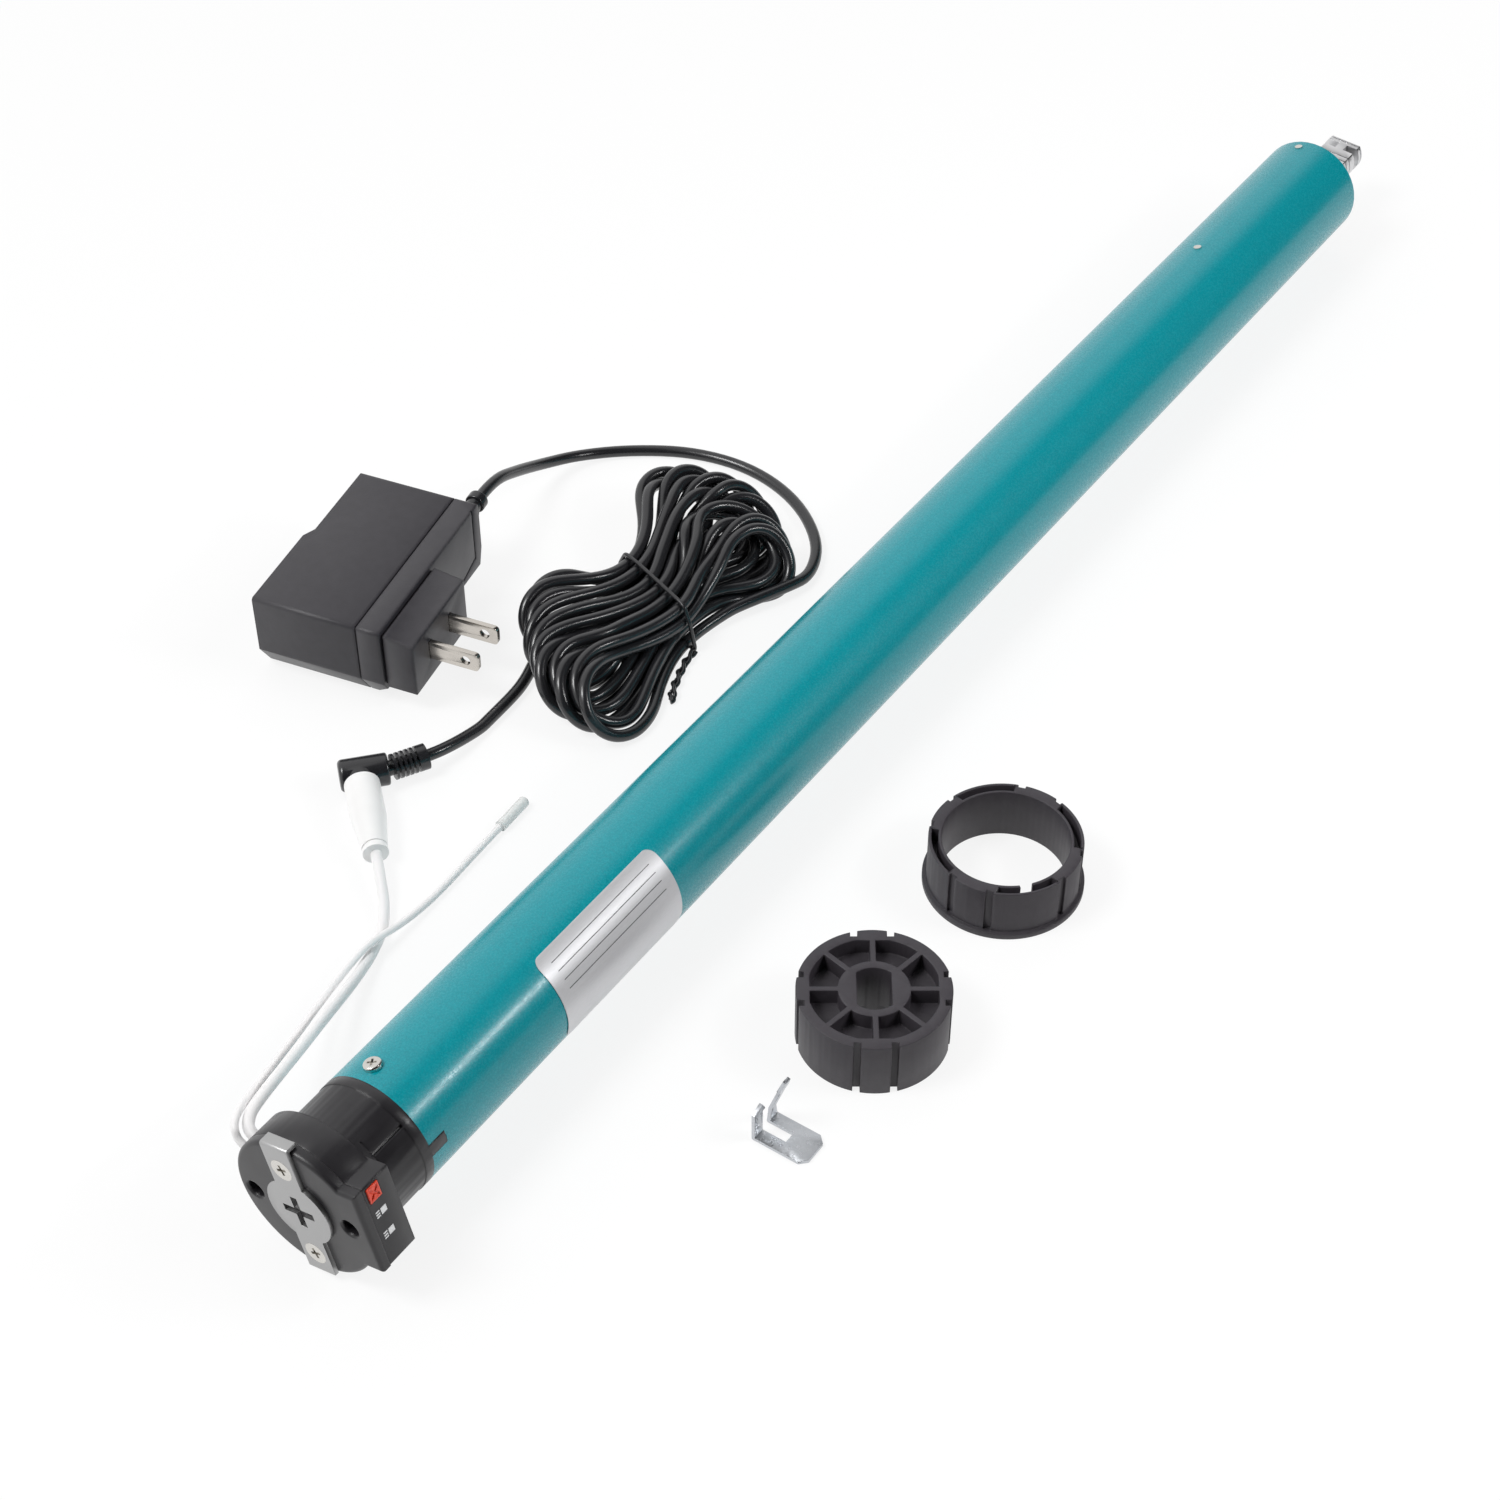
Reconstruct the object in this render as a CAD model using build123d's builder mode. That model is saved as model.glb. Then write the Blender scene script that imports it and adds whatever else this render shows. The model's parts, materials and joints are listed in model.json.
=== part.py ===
from build123d import *
import math
import os

os.makedirs("parts", exist_ok=True)

# Tubular roller blind motor with its loose drive pieces and its mains adapter, in millimetres.
# The origin is the centre of the bracket plate's outer face, on the motor's axis.
# +X runs along the motor to its output shaft, +Z is up, and the floor lies under the head's flange.

# Overall
tube_radius = 17.5
tube_wall = 1.0
tube_length = 510.0
flange_radius = 21.0
head_roll = -14.0
floor_z = -flange_radius
overrun = 1.0

# Clearances
running_gap = 0.06
slide_gap = 0.15
face_gap = 0.4
tube_gap = 0.1

# Bracket plate and its screws
plate_thickness = 1.2
plate_disc_radius = 10.0
plate_strip_width = 9.0
plate_foot_radius = 20.3
plate_lip_reach = 3.6
plate_bend_radius = 0.8
cross_span = 10.0
cross_bar = 2.2
plate_screw_offset = 14.3
plate_screw_head_radius = 3.25
plate_screw_shank_radius = 1.5
plate_screw_length = 9.0

# Head cover
cover_thickness = 3.0
cover_edge_radius = 1.2
mount_hole_pitch = 32.0
mount_hole_radius = 2.5
mount_hole_chamfer = 0.5
mount_hole_depth = 9.0

# Head body
flange_length = 8.7
lobe_reach = 22.1
lobe_height = 25.7
lobe_overhang = 0.6
lobe_edge_radius = 0.6
collar_radius = 17.3
collar_length = 17.3
ridge_length = 3.0
groove_angle = 144.0
groove_width = 0.9
groove_depth = 0.7
groove_inset = 3.4
step_line_inset = 3.1
step_line_width = 0.5
step_line_depth = 0.2
step_line_span = 28.0
cavity_radius = 12.0
cavity_floor = 3.2
cable_hole_radius = 5.4
spigot_length = 11.8
spigot_wall = 1.8
key_length = 5.8
key_width = 3.5

# Head board, its switch and the setting button
head_board_thickness = 1.0
head_board_offset = 4.6
head_board_half_height = 10.4
switch_side = 5.2
switch_height = 2.8
plunger_radius = 1.6
plunger_height = 0.6
button_width = 4.0
button_height = 4.5
button_proud = 0.3
button_inset = 6.0
button_lift = 9.5
button_travel = 0.6
button_rest_gap = 0.1
button_flange_lap = 0.6
button_flange_thickness = 1.0
button_lip = 2.0
button_mark_depth = 0.3
button_mark_width = 0.6
button_mark_turn = 45.0

# Grommets where the two white leads leave the head
lead_exit_angle = 10.0
motor_lead_diameter = 3.2
antenna_diameter = 2.1
motor_lead_inset = 8.1
antenna_inset = 4.55
grommet_recess = 0.4
motor_grommet_radius = 1.9
antenna_grommet_radius = 1.3
motor_lead_root = 3.6
antenna_root = 3.4

# Label, tube screw and rivets
label_start = 54.3
label_length = 50.2
label_thickness = 0.15
label_gap = 0.1
label_from_angle = 126.0
label_to_angle = 216.0
label_corner_radius = 2.5
tube_screw_inset = 5.2
tube_screw_head_radius = 2.5
tube_screw_head_height = 1.3
tube_screw_shank_radius = 1.4
tube_screw_length = 5.0
tube_screw_turn = 30.0
recess_share = 0.25
rivet_near_inset = 78.6
rivet_far_inset = 4.3
rivet_head_radius = 1.3
rivet_head_height = 0.4
rivet_shank_radius = 0.9
rivet_length = 1.9

# Electronics tray and boards
tray_wall = 1.6
tray_rim_drop = 2.0
tray_ring_length = 5.0
board_thickness = 1.6
board_half_width = 15.2
control_board_length = 95.0
driver_board_length = 125.0
radio_size = 18.0
radio_thickness = 2.4
antenna_can_length = 10.0
capacitor_radius = 4.0
capacitor_length = 12.0
capacitor_pitch = 13.0
capacitor_count = 2
control_chips = 3
driver_chips = 4
chip_length = 9.0
chip_width = 7.0
chip_height = 1.6
chip_pitch = 13.0
terminal_length = 8.0
terminal_width = 10.0
terminal_height = 7.0
wire_radius = 0.6
head_cable_start = 18.0
head_cable_end = 54.0
cable_pitch = 1.3
cable_wires = 3

# Motor
damper_length = 8.0
damper_bore_radius = 11.0
encoder_board_inset = 1.0
encoder_board_thickness = 1.6
encoder_magnet_radius = 5.0
encoder_magnet_length = 2.0
encoder_magnet_inset = 5.0
can_radius = 14.2
can_wall = 1.0
can_length = 74.0
can_front_wall = 2.0
end_cap_length = 5.0
motor_shaft_radius = 1.5
bearing_radius = 4.0
bearing_length = 5.0
motor_magnet_thickness = 2.6
motor_magnet_inset = 14.0
motor_magnet_length = 48.0
motor_magnet_angle = 130.0
armature_gap = 0.6
armature_margin = 2.0
armature_slots = 7
armature_slot_width = 2.2
armature_slot_depth = 4.5
winding_length = 5.0
winding_radius = 8.8
winding_bore = 3.5
commutator_radius = 5.0
commutator_inset = 2.5
commutator_length = 6.5
brush_width = 3.0
brush_length = 4.0
brush_holder_width = 6.0
brush_holder_depth = 3.0

# Planetary gearbox
gear_module = 0.6
sun_teeth = 12
planet_teeth = 18
ring_teeth = sun_teeth + 2 * planet_teeth
planet_count = 3
pressure_angle = 20.0
gear_backlash = 0.14
addendum_share = 0.8
dedendum_share = 1.0
gear_flange_length = 5.0
gear_flange_bore = 4.6
motor_screw_offset = 8.5
motor_screw_radius = 1.25
motor_screw_head_radius = 2.3
motor_screw_head_length = 2.5
stage_width_1 = 8.0
stage_width_2 = 12.0
stage_width_3 = 18.0
carrier_radius = 13.4
carrier_thickness_1 = 3.5
carrier_thickness_2 = 4.0
carrier_thickness_3 = 6.0
pin_radius = 1.5
washer_thickness = 0.6
washer_radius = 13.0

# Output shaft and its bush
bush_length = 28.64
journal_radius = 8.0
shaft_reach = 29.0
shaft_collar_reach = 1.0
shaft_radius = 7.0
shaft_across_flats = 9.0
shaft_tilt = 3.8
shaft_chamfer = 1.0
neck_width = 3.0
neck_slot_width = 3.4
neck_slot_inset = 3.6
shaft_line_width = 0.5
shaft_line_depth = 0.35
shaft_line_insets = (1.6, 10.5, 13.0)

# Drive wheel
wheel_x = 141.3
wheel_y = -74.5
wheel_turn = 34.5
wheel_radius = 20.64
wheel_height = 17.86
wheel_rim_bore = 17.5
wheel_pad_bore = 16.9
wheel_pad_width = 14.0
wheel_pad_overlap = 1.2
wheel_hub_radius = 9.6
wheel_spokes = 8
wheel_spoke_width = 1.5
wheel_groove_offset = 4.9
wheel_groove_width = 1.9
wheel_groove_depth = 1.7
wheel_groove_pairs = 4
wheel_bore_gap = 0.2
wheel_ledge_depth = 3.0
wheel_ledge_lap = 1.6
wheel_web_depth = 5.0
wheel_web_thickness = 3.0

# Crown ring
crown_x = 208.8
crown_y = -74.3
crown_turn = -55.48
crown_flange_radius = 22.64
crown_flange_height = 2.0
crown_radius = 21.48
crown_height = 16.6
crown_bore_gap = 0.5
crown_wall = 0.9
crown_web_depth = 5.0
crown_pairs = 4
crown_pair_angle = 58.5
crown_notch_offset = 15.7
crown_notch_width = 2.0
crown_block_width = 9.0
crown_key_angle = -76.4
crown_key_width = 3.4
crown_key_depth = 5.0

# Retaining clip
clip_thickness = 1.0
clip_x0 = 93.9
clip_x1 = 104.4
clip_y0 = -84.5
clip_y1 = -68.2
clip_corner = 2.0
clip_slot_gap = 0.3
clip_slot_depth = 8.2
clip_finger_kink = 5.0
clip_finger_length = 14.0
clip_finger_lean = 18.0
clip_finger_width = 2.2
clip_arrow_width = 4.2
clip_arrow_height = 5.0
clip_hook_height = 11.0
clip_hook_reach = 2.4
clip_bend_radius = 0.6

# Mains adapter
adapter_x = 166.2
adapter_y = 112.9
adapter_turn = 12.06
adapter_length = 65.0
adapter_height = 28.0
adapter_depth = 40.0
adapter_step_depth = 2.0
adapter_step_place = 31.2
adapter_step_slope = 4.0
adapter_seam = 8.0
adapter_seam_width = 0.5
adapter_seam_depth = 0.4
adapter_wall = 2.0
near_bevel_length = 5.0
near_bevel_height = 8.0
cord_bevel_length = 3.0
cord_bevel_height = 11.0
front_bevel_height = 5.0
front_bevel_depth = 5.0
adapter_edge_radius = 1.0
plug_block_from = 0.7
plug_block_to = 34.0
plug_block_reach = 10.5
plug_block_bottom = 7.0
plug_block_top = 27.0
plug_block_slope = 1.5
plug_block_gap = 0.8
plug_block_undercut = 0.6
blade_first = 11.0
blade_pitch = 12.7
blade_width = 6.35
blade_thickness = 1.5
blade_length = 16.0
blade_middle = 17.0
blade_rooted = 6.0
blade_hole_radius = 1.6
blade_hole_place = 11.7
blade_corner_radius = 1.4
face_groove_place = 60.3
face_groove_foot = 10.0
face_groove_end = 48.7
face_groove_end_height = 6.4
face_groove_width = 0.7
face_groove_depth = 0.5
adapter_board_thickness = 1.6
transformer_length = 19.0
transformer_depth = 16.0
transformer_height = 15.0
transformer_place = 24.0
bobbin_lap = 2.5
bulk_capacitor_radius = 5.5
bulk_capacitor_gap = 2.0
adapter_relief_depth = 4.5
adapter_relief_height = 21.8
adapter_relief_radius = 3.2
adapter_relief_neck = 2.5
adapter_relief_collar = 3.0
adapter_relief_knob = 3.4
adapter_relief_length = 9.0
adapter_relief_fillet = 0.5
adapter_lead_root = 10.0

# White socket on the motor's lead and the adapter's right-angled plug
socket_x = 113.8
socket_y = 72.7
socket_turn = 48.0
socket_length = 28.0
socket_radius = 5.2
socket_small_radius = 3.7
socket_ring_length = 1.6
socket_groove_length = 0.7
socket_groove_depth = 0.4
socket_taper_end = 15.0
barrel_radius = 2.75
barrel_length = 9.5
barrel_bore = 1.25
socket_pin_radius = 1.0
plug_half_length = 6.0
plug_tail_length = 8.4
plug_radius = 4.8
plug_mouth_radius = 4.5
plug_end_fillet = 1.4
plug_tail_fillet = 0.8
relief_turn = -29.0
relief_length = 11.6
relief_radius = 3.9
relief_neck_radius = 2.3
relief_rings = 5
relief_ring_clear = 1.25
relief_ring_share = 0.52
relief_collar_length = 3.0
relief_root = 1.5
socket_root = 7.0

# Cords
cord_diameter = 3.7
antenna_cap_radius = 1.7
antenna_cap_length = 12.4

# Hank of the adapter's lead
hank_x = 245.0
hank_y = 71.0
hank_half_length = 55.0
hank_end_radius = 24.5
hank_waist = 16.5
hank_turns = 3
hank_layers = 4
hank_gap = 0.62
hank_tie_diameter = 1.3
hank_lead_in_radius = 30.0
hank_lead_in_angle = 30.0
hank_tail_radius = 11.5
hank_stub = 1.0
tie_turn = -18.0
tie_corner_radius = 4.0
tie_slack = 1.0
tie_bulge = 0.9
hank_lift = 2.2
hank_lead_run = 9.0
hank_tail_run = 7.5
plug_tail_run = 4.9

# Places along the motor's axis, from the bracket plate's face
cover_back = plate_thickness + cover_thickness
flange_back = cover_back + flange_length
collar_end = flange_back + collar_length
spigot_end = collar_end + spigot_length
tube_end = collar_end + tube_length
tube_bore = tube_radius - tube_wall
inner_radius = tube_bore - tube_gap
bush_start = tube_end - bush_length
disc_3_end = bush_start - running_gap - washer_thickness
disc_3 = disc_3_end - carrier_thickness_3
stage_3 = disc_3 - face_gap - stage_width_3
disc_2 = stage_3 - face_gap - carrier_thickness_2
stage_2 = disc_2 - face_gap - stage_width_2
disc_1 = stage_2 - face_gap - carrier_thickness_1
stage_1 = disc_1 - face_gap - stage_width_1
gear_start = stage_1 - face_gap
can_end = gear_start - gear_flange_length
can_start = can_end - can_length
damper_end = can_start - end_cap_length
tray_end = damper_end - damper_length
tray_length = tray_end - spigot_end
gear_centres = gear_module * (sun_teeth + planet_teeth) / 2
shaft_end = tube_end + shaft_reach
board_face = head_board_offset + head_board_thickness
board_top = board_thickness - tray_rim_drop
control_start = spigot_end + tray_ring_length
driver_start = tray_end - tray_ring_length - driver_board_length
plug_turn = socket_turn - 90
capacitor_start = driver_start + radio_size + driver_chips * chip_pitch + chip_length


def station(x, turn=head_roll):
    """A plane square to the motor's axis at x, turned about it."""
    side = (0, math.cos(math.radians(turn)), math.sin(math.radians(turn)))
    return Plane(origin=(x, 0, 0), x_dir=side, z_dir=(1, 0, 0))


def outward(x, angle, radius=0):
    """A plane at x whose normal points out from the motor's axis, at an angle of the rolled head."""
    turn = math.radians(angle + head_roll)
    normal = (0, math.cos(turn), math.sin(turn))
    return Plane(origin=(x, radius * normal[1], radius * normal[2]), x_dir=(1, 0, 0), z_dir=normal)


def on_floor(x, y, turn, z=floor_z):
    """A level plane at a loose piece's centre."""
    side = (math.cos(math.radians(turn)), math.sin(math.radians(turn)), 0)
    return Plane(origin=(x, y, z), x_dir=side, z_dir=(0, 0, 1))


def heading(direction):
    """An axis through the origin along a direction, to sort by."""
    return Axis((0, 0, 0), direction)


def finish(builder, name):
    """Name a finished piece and write it."""
    builder.part.label = name
    export_step(builder.part, f"parts/{name}.step")


# Head


def make_bracket_plate():
    """Pressed steel plate with a cross slot, countersunk ears and a lip over the head's rim."""
    with BuildPart() as bracket_plate:
        with BuildSketch(station(0)):
            Circle(plate_disc_radius)
            with Locations((0, (flange_radius + plate_thickness - plate_foot_radius) / 2)):
                Rectangle(plate_strip_width, flange_radius + plate_thickness + plate_foot_radius)
            Rectangle(cross_span, cross_bar, mode=Mode.SUBTRACT)
            Rectangle(cross_bar, cross_span, mode=Mode.SUBTRACT)
        extrude(amount=plate_thickness)
        with BuildSketch(station(plate_thickness)):
            with Locations((0, flange_radius + plate_thickness / 2)):
                Rectangle(plate_strip_width, plate_thickness)
        extrude(amount=plate_lip_reach - plate_thickness)
        bend = bracket_plate.edges().filter_by(heading(station(0).x_dir)).group_by(heading(station(0).y_dir))
        fillet(bend[-1].sort_by(Axis.X)[0], plate_bend_radius)
        heads = two_rounds(0, 0, plate_screw_offset, plate_screw_head_radius)
        extrude(heads, amount=plate_thickness, taper=screw_taper(), mode=Mode.SUBTRACT)
    finish(bracket_plate, "bracket_plate")


def screw_taper():
    """Half angle of the countersink that ends at the shank on the plate's back."""
    sink = plate_screw_head_radius - plate_screw_shank_radius
    return math.degrees(math.atan2(sink, plate_thickness)) * (1 - 1e-6)


def plate_screw_pair():
    """Two countersunk screws, flush with the plate, with a crossed recess."""
    with BuildPart() as plate_screws:
        heads = two_rounds(0, 0, plate_screw_offset, plate_screw_head_radius)
        extrude(heads, amount=plate_thickness, taper=screw_taper())
        extrude(screw_holes(plate_thickness), amount=plate_screw_length - plate_thickness)
        with BuildSketch(station(0)):
            with Locations((0, plate_screw_offset), (0, -plate_screw_offset)):
                Rectangle(plate_screw_head_radius, plate_screw_head_radius * recess_share, rotation=head_roll)
                Rectangle(plate_screw_head_radius * recess_share, plate_screw_head_radius, rotation=head_roll)
        extrude(amount=plate_thickness / 2, mode=Mode.SUBTRACT)
    return plate_screws.part


def head_outline():
    """Sketch content of the head's flange: a round with the button's lobe on its near side."""
    Circle(flange_radius)
    with Locations((-lobe_reach / 2, 0)):
        Rectangle(lobe_reach, lobe_height)


def two_rounds(x, across, up, radius):
    """Sketch of two equal circles either side of the motor's axis, on the plane at x."""
    with BuildSketch(station(x)) as rounds:
        with Locations((across, up), (-across, -up)):
            Circle(radius)
    return rounds.sketch


def mount_holes(x):
    """Sketch of the head's two mounting holes."""
    return two_rounds(x, mount_hole_pitch / 2, 0, mount_hole_radius)


def screw_holes(x):
    """Sketch of the bracket plate's two screw holes."""
    return two_rounds(x, 0, plate_screw_offset, plate_screw_shank_radius)


def make_head_cover():
    """Front cover of the head, rounded at its rim, with the two mounting holes."""
    with BuildPart() as head_cover:
        with BuildSketch(station(plate_thickness)):
            head_outline()
        extrude(amount=cover_thickness)
        front = head_cover.faces().sort_by(Axis.X)[0]
        fillet(front.edges(), cover_edge_radius)
        extrude(mount_holes(plate_thickness), amount=cover_thickness, mode=Mode.SUBTRACT)
        extrude(screw_holes(plate_thickness), amount=cover_thickness, mode=Mode.SUBTRACT)
        rims = head_cover.faces().sort_by(Axis.X)[0].inner_wires().edges()
        chamfer(rims.filter_by(lambda e: abs(e.radius - mount_hole_radius) < slide_gap), mount_hole_chamfer)
    finish(head_cover, "head_cover")


def button_plane():
    """The panel's plane at the button."""
    panel = outward(plate_thickness + button_inset, 180)
    middle = panel.origin + panel.z_dir * lobe_reach + station(0).y_dir * button_lift
    return Plane(origin=middle, x_dir=(1, 0, 0), z_dir=panel.z_dir)


def button_depth():
    """From the panel to the button's inner end, just off the switch's plunger."""
    stack = board_face + switch_height + plunger_height
    return lobe_reach - stack - button_travel - button_rest_gap


def make_head_body():
    """Head moulding: flange and lobe, collar with its ridge and marks, spigot and key for the tube."""
    with BuildPart() as head_body:
        with BuildSketch(station(cover_back)):
            Circle(flange_radius)
        extrude(amount=flange_length)
        with BuildSketch(station(cover_back)):
            with Locations((-lobe_reach / 2, 0)):
                Rectangle(lobe_reach, lobe_height)
        extrude(amount=flange_length + lobe_overhang)
        with BuildSketch(station(flange_back)):
            Circle(collar_radius)
        extrude(amount=collar_length)
        with BuildSketch(station(collar_end - ridge_length)):
            Circle(tube_radius)
        extrude(amount=ridge_length)
        with BuildSketch(station(collar_end)):
            Circle(inner_radius)
        extrude(amount=spigot_length)
        with BuildSketch(station(collar_end)):
            Circle(inner_radius - spigot_wall)
        extrude(amount=spigot_length, mode=Mode.SUBTRACT)
        with BuildSketch(outward(collar_end, 180, inner_radius - spigot_wall)):
            with Locations((key_length / 2, 0)):
                Rectangle(key_length, key_width)
            with Locations((key_length - key_width / 2, 0)):
                Circle(key_width / 2)
        extrude(amount=tube_radius - inner_radius + spigot_wall)
        lobe_edges = head_body.edges().filter_by(Axis.X).filter_by(
            lambda e: abs(Vector(e.center()).dot(station(0).x_dir) + lobe_reach) < slide_gap
        )
        fillet(lobe_edges, lobe_edge_radius)
        with BuildSketch(outward(flange_back + groove_inset, groove_angle, collar_radius - groove_depth)):
            with Locations(((collar_length - ridge_length - groove_inset) / 2, 0)):
                Rectangle(collar_length - ridge_length - groove_inset, groove_width)
        extrude(amount=groove_depth + overrun, mode=Mode.SUBTRACT)
        with BuildSketch(station(flange_back + step_line_inset)):
            Circle(collar_radius + overrun)
            Circle(collar_radius - step_line_depth, mode=Mode.SUBTRACT)
            with BuildLine():
                reach = flange_radius + overrun
                first = groove_angle - step_line_span / 2
                Line((0, 0), (reach * cosine(first), reach * sine(first)))
                Line((reach * cosine(first), reach * sine(first)),
                     (reach * cosine(first + step_line_span), reach * sine(first + step_line_span)))
                Line((reach * cosine(first + step_line_span), reach * sine(first + step_line_span)), (0, 0))
            make_face(mode=Mode.INTERSECT)
        extrude(amount=step_line_width, mode=Mode.SUBTRACT)
        with BuildSketch(station(cover_back)):
            Circle(cavity_radius)
        extrude(amount=collar_end - cavity_floor - cover_back, mode=Mode.SUBTRACT)
        with BuildSketch(station(cover_back)):
            Circle(cable_hole_radius)
        extrude(amount=collar_end - cover_back, mode=Mode.SUBTRACT)
        extrude(mount_holes(cover_back), amount=mount_hole_depth - cover_thickness, mode=Mode.SUBTRACT)
        extrude(screw_holes(cover_back), amount=plate_screw_length - cover_back, mode=Mode.SUBTRACT)
        place = button_plane()
        with BuildSketch(place.offset(overrun)):
            Rectangle(button_width + 2 * slide_gap, button_height + 2 * slide_gap)
        extrude(amount=-(lobe_reach - board_face + overrun), mode=Mode.SUBTRACT)
        lap = button_flange_lap + slide_gap
        with BuildSketch(place.offset(-button_lip)):
            Rectangle(button_width + 2 * lap, button_height + 2 * lap)
        extrude(amount=-(lobe_reach - board_face - button_lip), mode=Mode.SUBTRACT)
        for inset, radius in lead_exits():
            with BuildSketch(lead_plane(inset, 0)):
                Circle(radius)
            extrude(amount=flange_radius + overrun, mode=Mode.SUBTRACT)
        with BuildSketch(outward(collar_end + tube_screw_inset, 90)):
            Circle(tube_screw_shank_radius)
        extrude(amount=tube_radius, mode=Mode.SUBTRACT)
    finish(head_body, "head_body")


def cosine(angle):
    """Cosine of an angle in degrees."""
    return math.cos(math.radians(angle))


def sine(angle):
    """Sine of an angle in degrees."""
    return math.sin(math.radians(angle))


def lead_exits():
    """Place behind the cover's face and radius of each grommet."""
    return ((motor_lead_inset, motor_grommet_radius), (antenna_inset, antenna_grommet_radius))


def lead_plane(inset, radius):
    """Plane across a lead's way out of the head."""
    return outward(plate_thickness + inset, lead_exit_angle - head_roll, radius)


def make_head_inside():
    """Setting button in the head, and the grommets of its two leads."""
    place = button_plane()
    with BuildPart() as set_button:
        with BuildSketch(place.offset(button_proud)):
            Rectangle(button_width, button_height)
        extrude(amount=-(button_depth() + button_proud))
        with BuildSketch(place.offset(-button_lip)):
            Rectangle(button_width + 2 * button_flange_lap, button_height + 2 * button_flange_lap)
        extrude(amount=-button_flange_thickness)
        diagonal = math.hypot(button_width, button_height) / 2
        with BuildSketch(place.offset(button_proud)):
            Rectangle(diagonal * 2, button_mark_width, rotation=button_mark_turn)
            Rectangle(diagonal * 2, button_mark_width, rotation=-button_mark_turn)
            Rectangle(button_width - 2 * button_mark_width, button_height - 2 * button_mark_width,
                      mode=Mode.INTERSECT)
        extrude(amount=-button_mark_depth, mode=Mode.SUBTRACT)
    finish(set_button, "set_button")

    with BuildPart() as lead_grommets:
        for inset, radius in lead_exits():
            with BuildSketch(lead_plane(inset, cavity_radius)):
                Circle(radius)
            extrude(amount=flange_radius - grommet_recess - cavity_radius)
    finish(lead_grommets, "lead_grommets")


# Tube


def tube_screw_piece():
    """Pan-headed screw with a crossed recess, through the tube into the head's spigot."""
    seat = outward(collar_end + tube_screw_inset, 90, tube_radius)
    with BuildPart() as tube_screw:
        with BuildSketch(seat):
            Circle(tube_screw_head_radius)
        extrude(amount=tube_screw_head_height)
        fillet(tube_screw.edges().sort_by(heading(seat.z_dir))[-1], tube_screw_head_height / 2)
        with BuildSketch(seat):
            Circle(tube_screw_shank_radius)
        extrude(amount=-tube_screw_length)
        with BuildSketch(seat.offset(tube_screw_head_height)):
            recess = tube_screw_head_radius
            Rectangle(recess, recess * recess_share, rotation=tube_screw_turn)
            Rectangle(recess * recess_share, recess, rotation=tube_screw_turn)
        extrude(amount=-tube_screw_head_height / 2, mode=Mode.SUBTRACT)
    return tube_screw.part


def make_tube():
    """Steel tube with a key slot, a screw hole and two rivet holes, and what is fixed to it."""
    with BuildPart() as motor_tube:
        with BuildSketch(station(collar_end)):
            Circle(tube_radius)
            Circle(tube_bore, mode=Mode.SUBTRACT)
        extrude(amount=tube_length)
        with BuildSketch(outward(collar_end, 180)):
            with Locations(((key_length - slide_gap) / 2, 0)):
                Rectangle(key_length + slide_gap, key_width + 2 * slide_gap)
            with Locations((key_length - key_width / 2, 0)):
                Circle(key_width / 2 + slide_gap)
        extrude(amount=tube_radius + overrun, mode=Mode.SUBTRACT)
        with BuildSketch(outward(collar_end + tube_screw_inset, 90)):
            Circle(tube_screw_shank_radius + slide_gap)
        extrude(amount=tube_radius + overrun, mode=Mode.SUBTRACT)
        for inset in (rivet_near_inset, rivet_far_inset):
            with BuildSketch(outward(tube_end - inset, 90)):
                Circle(rivet_shank_radius)
            extrude(amount=tube_radius + overrun, mode=Mode.SUBTRACT)
    finish(motor_tube, "motor_tube")

    with BuildPart() as rating_label:
        with BuildSketch(station(collar_end + label_start)):
            Circle(tube_radius + label_gap + label_thickness)
            Circle(tube_radius + label_gap, mode=Mode.SUBTRACT)
        extrude(amount=label_length)
        middle = (label_from_angle + label_to_angle) / 2
        half = (label_to_angle - label_from_angle) / 2
        blank = outward(collar_end + label_start, middle)
        with BuildSketch(blank):
            with Locations((label_length / 2, 0)):
                RectangleRounded(label_length, 2 * tube_radius * sine(half), label_corner_radius)
        extrude(amount=tube_radius + overrun, mode=Mode.INTERSECT)
    finish(rating_label, "rating_label")

    with BuildPart() as tube_rivets:
        for inset in (rivet_near_inset, rivet_far_inset):
            with BuildSketch(outward(tube_end - inset, 90, tube_radius)):
                Circle(rivet_head_radius)
            extrude(amount=rivet_head_height)
            with BuildSketch(outward(tube_end - inset, 90, tube_radius)):
                Circle(rivet_shank_radius)
            extrude(amount=-rivet_length)
    finish(tube_rivets, "tube_rivets")


# Electronics


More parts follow.
